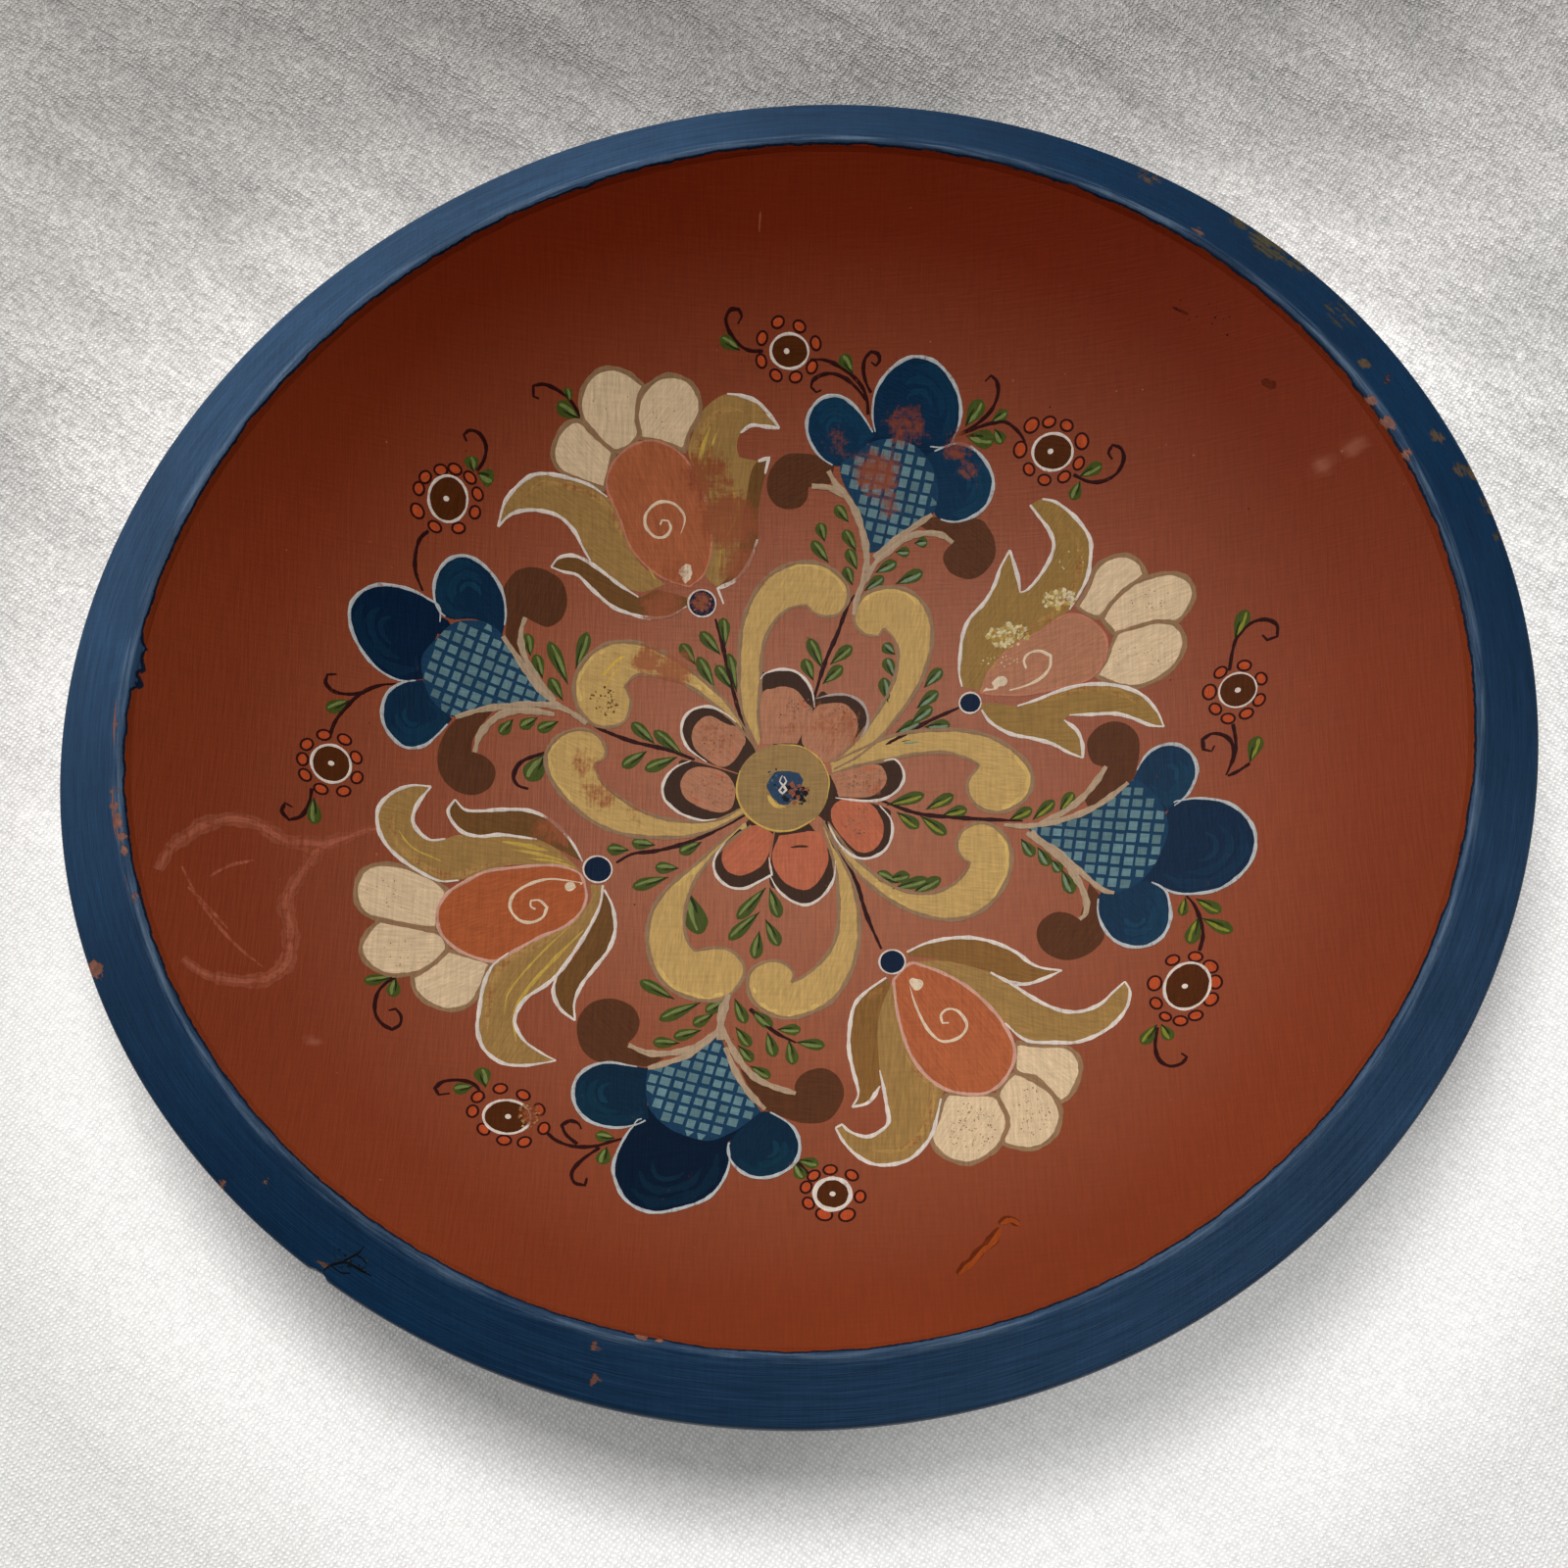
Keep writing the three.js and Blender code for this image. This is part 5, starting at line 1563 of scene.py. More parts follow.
def bell_flowers():
    """The four bell flowers, from the top round to the left."""
    bell_flower(
        1,
        [(15.2, 54.8), (14.1, 60.9), (11.9, 66.4), (9.1, 71.4), (8.8, 75.3), (12.4, 77.6), (15.8, 79.8),
         (19.7, 80.6), (24.1, 79.8), (27.4, 77.6), (29.9, 74.2), (31.3, 69.2), (31.1, 65.9), (29.9, 63.1),
         (25.8, 60.3), (21.3, 57.6), (17.4, 55.3)],
        76,
        [[(16.9, 81.4), (16.1, 85.9), (16.9, 90.9), (19.7, 94.8), (23.6, 97.3), (26.9, 97.7), (30.8, 96.4),
          (34.1, 93.1), (36.1, 89.2), (36.6, 84.8), (35.2, 80.3), (31.9, 78.1)],
         [(8.6, 74.8), (5.2, 75.9), (2.4, 78.7), (0.8, 82.6), (1.3, 86.4), (4.1, 89.5), (8, 90.1),
          (11.3, 88.4), (14.1, 85.3), (16.6, 81.4), (13, 77.6)],
         [(29.4, 71), (28.6, 76.6), (31.3, 77.6), (35.2, 78.7), (39.1, 77.6), (42.4, 74.2), (44.1, 69.8),
          (43, 65.3), (40.2, 62.6), (35.8, 61.2), (31.9, 62), (30.2, 64.2)]],
        [[(7.2, 74.8), (4.7, 76.7), (0.2, 77.6), (-4.2, 77.3), (-7.6, 74.2), (-8.6, 69.8), (-7, 66.4),
          (-4.2, 65.1), (-0.9, 65.6), (0.8, 67.6), (1.1, 70.1), (6.3, 70.9)],
         [(26.9, 60.9), (30.2, 62.6), (40.2, 61.7), (43, 59.2), (44.4, 55.9), (44.1, 52), (41.3, 48.7),
          (38, 47.8), (34.1, 49.5), (32.4, 52.6), (33, 54.8), (34.7, 56.4), (32.4, 58.7), (29.1, 59.5)]],
        [([(11.6, 40.1), (12.4, 44.2), (14.1, 48.7), (14.7, 53.1), (14.1, 58.1), (12.4, 63.7), (10.2, 67.6),
           (7.4, 70.9), (5.8, 73.7)], 1.6),
         ([(10.2, 67.6), (6.3, 69.8), (1.9, 70.3)], 1.4),
         ([(14.4, 48.1), (16.9, 52.6), (20.2, 55.3), (24.1, 58.1), (28, 58.9), (31.9, 58.4),
           (34.7, 56.4)], 1.5),
         ([(16.3, 53.7), (21.3, 57.6), (26.3, 60.9), (29.9, 63.1)], 1.4)],
        [(LEAF_GREEN, [((3.6, 62), (4.9, 57.6), 1.9), ((1.9, 57.8), (5.8, 52.6), 1.9),
           ((7.4, 65.9), (10.5, 62), 1.9), ((9.4, 60.3), (12.2, 55.3), 1.9),
           ((10.2, 55.9), (12.4, 50.9), 1.9), ((9.7, 51.7), (11.3, 47.3), 1.9)]),
         (SEA_GREEN, [((28.8, 57), (25.8, 56.7), 1.8), ((24.7, 54.8), (21.3, 54.8), 1.8),
           ((21.6, 52.6), (16.6, 50.1), 1.9), ((18.6, 49.2), (14.1, 45.9), 1.9),
           ((27.7, 50.1), (21.3, 47.3), 2.1)])],
    )
    bell_flower(
        2,
        [(50.3, -12.5), (55.9, -11.7), (60.9, -10.6), (65.9, -8.6), (69.8, -6.1), (73.1, -3.6), (75.3, -3.3),
         (78.1, -6.1), (80.3, -10), (81.4, -15), (80.3, -19.4), (78.1, -23.9), (74.8, -27.8), (69.8, -30),
         (66.4, -28.9), (62, -24.4), (57.6, -19.4), (53.1, -15.6)],
        -10,
        [[(74.2, -3), (75.9, 0.6), (78.1, 3.3), (81.4, 4.6), (84.8, 3.9), (87.3, 1.1), (88.1, -2.8),
          (86.4, -7.2), (84.2, -9.4), (81.4, -11.1), (78.7, -7.2)],
         [(81.4, -11.4), (85.3, -9.2), (90.3, -9.7), (94.8, -11.7), (98.1, -15.6), (99.5, -20), (98.7, -25),
          (95.9, -28.9), (91.4, -31.7), (86.4, -32.2), (82, -31.4), (78.1, -28.9), (75.9, -27.2)],
         [(67, -28.9), (65.3, -32.8), (65.9, -37.2), (68.1, -41.1), (71.4, -43.3), (75.3, -43.6),
          (78.7, -41.7), (80.6, -37.8), (80.6, -33.3), (79.5, -30), (75.3, -27.8)]],
        [[(64.4, 7.2), (66.8, 10.4), (70.1, 11.5), (73.4, 10.4), (75.6, 7.6), (75.9, 4.4), (75.3, 0.6),
          (73.9, -3.3), (69.8, -6.7), (64.2, -8.9), (63.1, -6.1), (66.4, -2.8), (68.1, 0.6), (65.2, 2.4)],
         [(61.2, -35.8), (59.2, -34.2), (55.9, -33.6), (52.8, -35.6), (51.7, -38.9), (53.1, -42.8),
          (57, -45.3), (61.4, -45), (64.8, -42.8), (66.4, -40), (65.1, -35), (65.9, -30.6), (63.7, -27.2)]],
        [([(45.3, -11.7), (50.3, -12.3), (55.9, -11.7), (60.9, -10.6), (65.9, -8.6), (69.8, -6.1),
           (73.1, -3.6)], 1.4),
         ([(53, -12), (58.7, -9.4), (63.1, -6.1), (66.4, -2.2), (68.4, 0.8)], 1.5),
         ([(50.3, -13.9), (54.8, -17.8), (58.1, -21.1), (61.4, -26.7), (62.8, -31.1), (62.6, -34.4),
           (61.2, -35.8)], 1.5),
         ([(51.5, -13.5), (53.1, -15.6), (57.6, -19.4), (62, -24.4), (66.4, -28.9), (69, -30)], 1.3)],
        [(YELLOW_GREEN, [((51.7, -8.1), (46.4, -10.6), 1.9), ((56.7, -6.4), (51.7, -10.8), 1.9),
           ((60.9, -4.7), (57.8, -9.2), 1.9)]),
         (SEA_GREEN, [((51.7, -19.7), (49, -15.3), 1.9), ((55, -22.2), (52.6, -17.5), 1.9),
           ((57.6, -23.9), (55.6, -20.8), 1.8), ((60, -29.4), (57.8, -23.3), 2)])],
    )
    bell_flower(
        3,
        [(-18.6, -60.9), (-21.7, -63.9), (-25.6, -67), (-30, -68.9), (-33.9, -70.3), (-34.2, -74.2),
         (-33.9, -77.6), (-32.8, -80.9), (-28.9, -84.8), (-23.9, -87), (-20, -87.6), (-16.1, -85.9),
         (-12.8, -83.7), (-9.2, -80.3), (-11.7, -76.4), (-14.4, -71.4), (-16.7, -66.4)],
        -105,
        [[(-33.9, -70.3), (-37.8, -69.8), (-42.2, -69.2), (-46.1, -70.3), (-48.9, -73.1), (-49.7, -77),
          (-48.6, -80.9), (-45.6, -83.9), (-40.6, -85.1), (-36.1, -84.2), (-33.3, -82.6), (-33.9, -77)],
         [(-33.3, -82.6), (-36.7, -84.8), (-39.2, -89.8), (-40.3, -94.8), (-39.2, -99.2), (-37.2, -102.6),
          (-33.9, -104.8), (-30, -105.3), (-24.4, -103.7), (-20, -101.4), (-17.2, -97.6), (-15.8, -93.1),
          (-16.1, -88.7), (-17.2, -85.9)],
         [(-12.8, -83.7), (-8.9, -80.3), (-5.6, -81.4), (-2.2, -84.2), (-0.8, -88.1), (-1.4, -92),
          (-3.9, -94.8), (-7.8, -96.4), (-11.7, -95.9), (-15, -93.1), (-16.1, -88.7)]],
        [[(-38.6, -64.5), (-36.7, -62), (-36.1, -58.7), (-37.8, -55.3), (-42.2, -53.6), (-46.7, -54.8),
          (-49.4, -58.7), (-49.4, -63.1), (-47.8, -67), (-44.4, -69.2), (-37.8, -69.5), (-33.9, -69.8),
          (-30.6, -67.8), (-35, -66.4)],
         [(-1.7, -75.9), (-1.9, -73.7), (0, -70.9), (3.9, -69.7), (7.2, -71.4), (8.8, -75.3), (7.8, -79.2),
          (5, -82.6), (0, -83.1), (-5, -81.4), (-8.9, -79.2), (-12.2, -73.7), (-13.9, -69.8), (-10, -73.1),
          (-5.6, -74.8)]],
        [([(-16.6, -51.8), (-18, -56.5), (-18.3, -59.8), (-18.3, -63)], 1.9),
         ([(-18.2, -60), (-20.6, -62.4), (-24.4, -65.1), (-28.9, -66.4), (-33.9, -66.6),
           (-38.3, -64.8)], 1.5),
         ([(-18.6, -60.9), (-21.7, -63.9), (-25.6, -67), (-30, -68.9), (-33.9, -70.3)], 1.4),
         ([(-18.1, -59.6), (-16.6, -63.1), (-13.9, -68.1), (-10.6, -72), (-6.7, -74.2), (-1.7, -75.9)], 1.5),
         ([(-17.2, -64.8), (-15, -70.3), (-12.2, -75.3), (-8.3, -79.8)], 1.4)],
        [(LEAF_GREEN, [((-36.4, -49), (-28.6, -53.2), 2), ((-31.9, -58.4), (-22.8, -53.9), 2),
           ((-21.7, -56.2), (-17.2, -53.4), 1.9), ((-24.4, -59.5), (-20, -56.7), 1.9),
           ((-28.6, -62.6), (-22.5, -60.6), 1.9), ((-33.1, -63.9), (-27.2, -63.9), 1.9),
           ((-12.8, -58.9), (-15.3, -52.8), 1.9), ((-11.7, -64.5), (-15, -59.8), 1.9),
           ((-11.1, -68.1), (-14.4, -64.2), 1.8), ((-7.2, -72), (-11.7, -69.2), 1.8),
           ((-6.9, -59.8), (-11.9, -55.3), 1.9), ((-0.6, -60.3), (-5.8, -60.3), 1.9),
           ((-6.4, -67), (-8, -60.9), 1.9), ((-2.2, -68.9), (-3.3, -62.8), 1.9),
           ((4.7, -64.2), (-1.7, -63.4), 1.9)])],
        [[(-11.9, -55.3), (-6.7, -60.6), (-1.7, -63.5)]],
    )
    bell_flower(
        4,
        [(-56.1, 16.6), (-60.2, 20.8), (-64.1, 25.2), (-66.9, 29.1), (-69.1, 32.4), (-72.4, 34.7),
         (-76.3, 34.9), (-80.2, 33.6), (-83.6, 29.7), (-86.6, 25.2), (-86.3, 20.2), (-84.7, 15.8),
         (-81.9, 13), (-79.1, 11.9), (-75.2, 13.6), (-70.2, 15.2), (-64.7, 16.1), (-60.2, 16.6)],
        162,
        [[(-69.1, 32.4), (-68.4, 36.9), (-69.1, 41.9), (-71.3, 45.8), (-74.7, 48.6), (-78, 49.4), (-81.3, 48),
          (-83.6, 44.7), (-84.4, 40.8), (-83.6, 36.9), (-80.8, 34.7), (-74.7, 35.2)],
         [(-83, 36.6), (-85.8, 38.6), (-89.1, 39.9), (-93, 40.3), (-96.9, 39.7), (-100.2, 37.4),
          (-102.2, 34.1), (-102.2, 30.2), (-100.8, 26.3), (-98, 22.4), (-94.7, 19.9), (-90.8, 18.8),
          (-86.3, 19.9), (-86.6, 24.7), (-83.6, 30.2)],
         [(-86.3, 19.7), (-90.2, 18.6), (-93.3, 16.3), (-94.7, 13), (-94.7, 9.1), (-93, 5.8), (-89.7, 3.3),
          (-85.8, 4.1), (-83, 6.9), (-79.7, 11.3), (-81.9, 13.6), (-84.7, 15.8)]],
        [[(-63.8, 36.9), (-61.3, 35.8), (-58.8, 35.2), (-55.8, 37.4), (-54.6, 41.3), (-55.5, 45.5),
          (-58, 47.7), (-61.9, 48.7), (-65.8, 47.7), (-68.3, 44.7), (-69.1, 41.9), (-68.3, 35.8),
          (-68, 31.3), (-63.6, 25.2), (-64.7, 31.3), (-64.9, 34.1)],
         [(-70.2, 15), (-73, 11), (-75, 7), (-75.2, 3.9), (-72.6, 3.4), (-70.3, 1.4), (-69.8, -1.2),
          (-71, -4.2), (-74, -6.2), (-77.6, -6), (-80.6, -4), (-82.3, -0.8), (-82.6, 3), (-81.5, 7.2),
          (-79.2, 11), (-75.5, 13.4)]],
        [([(-79, 11.8), (-73.5, 14.2), (-67, 15.8), (-60.5, 16.7), (-56, 16.4), (-52.5, 14.8),
           (-49.7, 12.8)], 1.5),
         ([(-69, 32), (-65.5, 27.2), (-62, 22), (-58.5, 18.5), (-55.5, 16.4)], 1.4),
         ([(-64, 36.9), (-64.9, 33.5), (-64.6, 29.5), (-62.8, 25.5), (-60, 21.5), (-57, 17.8)], 1.4),
         ([(-74.5, 3.9), (-73.6, 8), (-71, 11.8), (-67.5, 14.2), (-62, 15), (-57, 14.5)], 1.6)],
        [(LEAF_GREEN, [((-63.6, 33.3), (-62.7, 28), 1.9), ((-61.6, 28.6), (-59.9, 23), 1.9),
           ((-58.3, 23.3), (-55.2, 18), 1.9), ((-58.6, 31.9), (-54.1, 21.9), 2.1),
           ((-49.9, 34.7), (-52.4, 25.8), 2), ((-69.1, 8.8), (-66.3, 12.7), 1.9),
           ((-64.7, 10.8), (-60.8, 13.6), 1.9), ((-60.8, 10.5), (-56.1, 13), 1.9)])],
    )


def daisy(number, centre, radii, tilt, berries, stems, leaves, ring=0.6, dot=None):
    """A brown eye in a white ring among orange berries, with dark curls and small leaves."""
    m = Motif(f"daisy_{number}")
    for stem in stems:
        m.line(stem, 0.85, MAROON, 1, (0.8, 0.5), 0.09)
    for tip, base, width in leaves:
        m.leaf(tip, base, width, YELLOW_GREEN if number in (3, 4) else LEAF_GREEN)
    for u, v, *size in berries:
        radius = size[0] if size else 1.3
        lean = math.degrees(math.atan2(v - centre[1], u - centre[0]))
        m.round((u, v), (radius + 0.1, radius + 0.4), MAROON, 2, lean, 0.05)
        m.round((u, v), (radius - 0.4, radius - 0.1), BERRY_ORANGE, 3, lean, 0.08)
    m.round(centre, radii, DAISY_BROWN, 4, tilt, 0.12)
    m.ring(centre, np.array(radii) - 0.1, ring, WHITE, 5, tilt)
    m.round(dot or centre, (0.65, 0.6), WHITE, 7, bulge=0.2)
    if number == 6:
        m.flecks((-58.6, -83.2), (2.2, 3.4), FLECK_TAN, 46, 1, 6)
    return m.paint()


def daisies():
    """The eight small ringed flowers, from the top round to the upper left."""
    daisy(
        1, (-3.2, 99.4), (4.5, 3.7), 0,
        [(-5.9, 105.3), (-0.9, 104.5), (2.9, 101.1), (2, 96.2), (-1.8, 94.1), (-6.4, 94.4), (-9.8, 97.3),
         (-9.6, 102)],
        [[(-9.4, 99.4), (-12.5, 99.4), (-15, 100.6), (-17.2, 103.1), (-18, 105.6), (-16.9, 107.5),
          (-15, 107.6), (-14.3, 106.3), (-15.3, 104.7)],
         [(15.1, 85.9), (14.9, 88.7), (14, 91.4), (11.9, 93.9), (8.6, 96.2), (5.2, 97.6), (1.6, 97.8)],
         [(14.6, 89.2), (12.4, 91.7), (9.9, 93.7), (6.9, 94.8), (4.1, 94.5), (2.2, 93.4), (1.8, 92),
          (3, 90.9), (4.2, 91.4)],
         [(15.8, 90.6), (14.7, 92.6), (14, 95.3), (14.4, 97.8), (15.8, 99.2), (17.4, 98.7), (17.8, 97.3),
          (16.9, 96.3), (15.8, 97)]],
        [((-19.4, 101.8), (-14.7, 99.4), 2), ((8.8, 98.7), (11.6, 94.8), 2.2)],
        dot=(-3.9, 99.4),
    )
    daisy(
        2, (57.7, 75), (4.7, 4.1), -15,
        [(52.9, 81.3, 1.6), (56.9, 81.6), (60.9, 80.4), (64.3, 76.6, 1.6), (63.6, 71.9), (60.3, 69.3),
         (55.8, 69.1), (52.3, 71.8), (50.3, 76.3, 1.6)],
        [[(36.1, 80.6), (39.7, 81.7), (43.6, 82.6), (46.9, 82.6), (49.9, 80.2), (51.5, 77.7)],
         [(36.3, 80.6), (40.2, 82.6), (43.6, 85.3), (45.2, 88.7), (44.9, 91.4), (43.6, 92.7), (42.2, 91.6)],
         [(62.4, 69.6), (65.6, 67.7), (69, 67.3), (72.1, 68.6), (73.7, 71.4), (73.1, 73.9), (71.2, 74.9),
          (70.3, 73.3), (71.2, 71.8)]],
        [((41.6, 87.8), (37.7, 82.3), 2.6), ((47.4, 84.9), (43.6, 82.8), 1.8),
         ((44.4, 78.7), (37.7, 80.3), 2.8), ((46.3, 78), (44.4, 81.3), 2), ((68.9, 71.1), (63.7, 68.9), 2),
         ((62.1, 63.9), (63.9, 68), 2)],
        dot=(57.2, 75.2),
    )
    daisy(
        3, (97.5, 15.1), (4.1, 4.1), 0,
        [(94, 19.9), (99.1, 20.6), (102.5, 16.9), (101.9, 12), (99.1, 9.3), (95.2, 8.8), (92.6, 11.5),
         (91.5, 15.7, 1.6)],
        [[(95.9, 20), (96.7, 24.3), (97.9, 27.7), (100.7, 30.1), (103.8, 30.4), (106.2, 28.7), (106.2, 26),
          (104.1, 25.6), (103.1, 27)],
         [(96.2, 7.4), (96.6, 2.9), (96, -0.5), (94.2, -4.6)],
         [(95.7, -1.9), (95.9, 2.3), (94.5, 4.7), (91.8, 5.8), (89.6, 4.7), (89.7, 2.3), (91.4, 1.6),
          (92.1, 2.9)],
         [(99.3, -2.6), (96.6, -4.1), (94.5, -4.8)]],
        [((99.9, 33.5), (97.3, 27), 2.2), ((101.4, 3.6), (99.3, -2.4), 2.2)],
        ring=0.4,
    )
    daisy(
        4, (83.1, -54.4), (4.8, 5.8), -20,
        [(80.5, -47.7), (85.3, -47.5), (88.2, -50.3, 1.5), (88.9, -54.2, 1.5), (87.7, -58.3, 1.5),
         (84.3, -61.8), (81.1, -62.7), (78.1, -61.3, 1.1), (76.4, -57.8), (76.4, -52.9, 1.6)],
        [[(86.2, -46.2), (87.2, -42.4), (86.8, -38.3), (85.8, -34.8), (84.3, -32.4)],
         [(76.2, -63.7), (75.5, -68.5), (76.2, -71.9), (78.3, -73.5), (80.7, -73), (81.7, -71.6),
          (80.7, -70.6)]],
        [((91.3, -37.4), (86.2, -33.4), 2), ((93.4, -42.5), (87.2, -38.3), 2.1),
         ((84.3, -44.3), (86.5, -37.9), 2.2), ((83.1, -37.2), (84.1, -32.8), 1.6),
         ((72.8, -67.5), (76.2, -63), 2), ((78.9, -67.1), (77.1, -63), 1.9)],
        dot=(82.6, -54.4),
    )
    daisy(
        5, (6.2, -100.4), (3.9, 3.9), 0,
        [(5.7, -94.5), (10.3, -95.9), (12, -101.1), (9.2, -105.5, 1.6), (4.4, -105.3, 1.6), (1.1, -102.6),
         (0.6, -98.7), (2.2, -95.9)],
        [[(-1.6, -92.4), (0.4, -94.6), (1.6, -96.4)]],
        [((3.3, -93.2), (-1.2, -92.1), 1.9), ((0.2, -96.6), (-1.9, -92.8), 2.2)],
        ring=1.0,
    )
    daisy(
        6, (-63.1, -83.9), (5, 4.2), 0,
        [(-65, -77.1), (-60.1, -78.3), (-56.6, -81.6), (-55.3, -86.1), (-59.1, -89.7), (-63.3, -89.6),
         (-67.7, -87.3), (-70.3, -83.1), (-69.5, -79.5)],
        [[(-54.7, -87), (-52.5, -88.9), (-48.8, -90.1), (-44.4, -89.8), (-41.3, -88.6), (-38.4, -87.6)],
         [(-48.1, -89.5), (-50.6, -87.3), (-51.6, -85.1), (-50, -83.9), (-48.1, -84.5), (-47.5, -85.8)],
         [(-43.4, -90.1), (-46.9, -93.3), (-48.8, -96.4), (-48.1, -98.9), (-45.9, -99.4), (-45.6, -97.6)],
         [(-68.1, -79.8), (-70.3, -76.7), (-73.4, -75.8), (-76.9, -76.5), (-78.4, -78.3), (-77.5, -79.8),
          (-75.3, -79.2)]],
        [((-44.5, -87.1), (-40.3, -87.6), 1.9), ((-42.8, -94.2), (-41.9, -89.8), 2.2),
         ((-69.5, -72.3), (-68, -77), 2.4), ((-74.7, -78.3), (-70.6, -77), 2)],
        dot=(-62.9, -83.8),
    )
    daisy(
        7, (-105, -3.1), (4.2, 4.5), 0,
        [(-106.8, 3.4), (-102.5, 3.1), (-99.9, -0.7), (-99.5, -5.4), (-102.1, -9.1), (-106.8, -9.4),
         (-110.2, -6.7), (-110.9, -3.1), (-110.2, 0.5)],
        [[(-105.6, 3.4), (-104.5, 7.2), (-101.8, 11.7), (-98.7, 15.1), (-95.3, 17.1), (-92.2, 17.9)],
         [(-98.7, 14.8), (-102.1, 13.8), (-105.2, 13.9), (-106.9, 15.5), (-106.6, 17.5), (-104.7, 18)],
         [(-108.7, -9.6), (-109, -13.1), (-110.4, -16.5), (-112.8, -17.9), (-114.4, -16.2), (-113.8, -14.1),
          (-112.3, -14.8)]],
        [((-106.6, 9.3), (-101.8, 12.4), 2), ((-107.6, -18), (-108.2, -11.7), 2)],
        dot=(-105, -3),
    )
    daisy(
        8, (-81.4, 61.4), (4.3, 5.2), -15,
        [(-83, 67.4), (-79.9, 68.1), (-76.6, 66.8), (-74.9, 63.5), (-75.5, 59.4), (-79.1, 55.4),
         (-84.3, 54.9), (-88.1, 57.7, 1.5), (-87.8, 62.6), (-86.4, 65.3)],
        [[(-85.7, 53.8), (-87.6, 51.6), (-88.5, 47.9), (-88.4, 44.1), (-86.8, 40.1)],
         [(-75.1, 68.5), (-73.5, 71), (-73, 74.1), (-74.4, 76.5), (-76.6, 76.9), (-77.9, 75.7),
          (-77.3, 74.4)]],
        [((-76.6, 71.5), (-75.7, 68.2), 2.3), ((-71.3, 67), (-74.9, 68), 2.8)],
        dot=(-81.8, 61.4),
    )


def tendrils():
    """Two curls with leaves, at the backs of the first and last tulips."""
    m = Motif("tendrils")
    upper = [(-51.6, 82.9), (-53.8, 86), (-56.6, 87.9), (-59.8, 88.8), (-62.3, 88.2), (-62.3, 86),
             (-61, 85.7)]
    lower = [(-88.6, -52.4), (-90.2, -53.6), (-91.8, -56.1), (-92.3, -59.3), (-91.8, -62.1), (-90.2, -64.1),
             (-88.3, -65), (-86.8, -63.6), (-86.8, -61.4), (-88, -59.9), (-89.4, -60.5)]
    for curl in (upper, lower):
        m.line(curl, 0.8, MAROON, 1, (0.8, 0.5), 0.09)
    m.leaf((-54.8, 88.8), (-54.1, 85.7), 1.6, LEAF_GREEN)
    m.leaf((-57.1, 85.1), (-51.9, 82.6), 2.4, LEAF_GREEN)
    m.leaf((-95, -54.1), (-89.3, -52.3), 1.8, LEAF_GREEN)
    m.leaf((-88.9, -57.1), (-88.6, -52.3), 2, LEAF_GREEN)
    return m.paint()


# Old marks on the red ground: the pale outline of a water stain, scratches, and a brown smear
STAIN_LINES = [
    [(-136.8, -35.5), (-134.8, -29.5), (-132, -26), (-129.1, -22.7), (-124.4, -20.2), (-120.4, -19.9),
     (-117.4, -20.8), (-113.2, -23), (-108.2, -22.6), (-104.6, -22), (-98, -18.3), (-93.9, -16.7)],
    [(-107.9, -26.2), (-110.5, -32.8), (-112.1, -38), (-110.6, -43.8), (-110.4, -51.1), (-112.5, -55.2),
     (-116.2, -57.7), (-121.9, -58.3), (-125.7, -57.9), (-130.2, -55.2)],
    [(-104.6, -22.6), (-107.2, -25), (-108, -28)],
]
SCRATCHES = [
    [(-132.5, -33.5), (-128.8, -40.3), (-124.4, -46), (-119.8, -50.5), (-114.7, -54.3)],
    [(-131, -38), (-127.4, -41.3), (-122.6, -46.2)], [(-127.1, -34.5), (-123.6, -31.2), (-118.9, -28.8)],
]
SMEAR = [
    [(44.8, -109.3), (42.9, -107.8), (40.6, -108.6)], [(40.5, -109.6), (39.2, -112.4), (36.5, -115.4)],
    [(37.5, -113.6), (34.8, -117.2), (31.5, -120.3)],
]


def ground_marks():
    """The marks of age on the red ground: stain, scratches, smear, dents and strewn flecks."""
    m = Motif("marks_on_the_red_ground")
    for line in STAIN_LINES:
        m.line(line, 3.4, STAIN, 1, (0.5, 0.5), 0.02, 0.12)
        m.line(line, 1.2, STAIN_PALE, 2, (0.5, 0.5), 0.02, 0.12)
    for line in SCRATCHES:
        m.line(line, 0.7, STAIN_PALE, 1, (0.5, 0.5), 0.02, 0.16)
    for line in SMEAR:
        m.line(line, 2.2, SMEAR_DARK, 1, (0.3, 0.3), 0.05, 0.06)
        m.line([(u + 0.4, v - 0.2) for u, v in line], 1.2, SMEAR_BRIGHT, 2, (0.3, 0.3), 0.05)
    m.line([(-9.8, 126.4), (-10.1, 122.6)], 0.5, srgb(150, 80, 50), 1)
    m.line([(84.2, 101.1), (87.7, 98.9)], 0.7, srgb(74, 28, 14), 1, (0.3, 0.3), 0.02, 0.12)
    m.line([(103.6, 82.4), (106.6, 80.4)], 1.8, srgb(84, 34, 16), 1, (0.3, 0.3), 0.02, 0.14)
    m.flecks((92, 97), (9, 3), FLECK_BURN, 14, 0.6, 1, -35)
    m.flecks((0, 20), (120, 90), FLECK_GROUND, 90, 0.5, 1)
    return m.paint()


# Fine scratches on the blue rim, most of them at its left
RIM_SCRATCHES = [
    [(-146.8, -18), (-146.4, -24), (-145.2, -30)], [(-146, -21), (-145, -28), (-143.6, -34)],
    [(-142.8, -38), (-140, -46), (-137.4, -52)], [(-147.6, 2), (-147.6, -4), (-147.2, -9)],
    [(130, 67.6), (132, 63), (134, 58.4)],
]


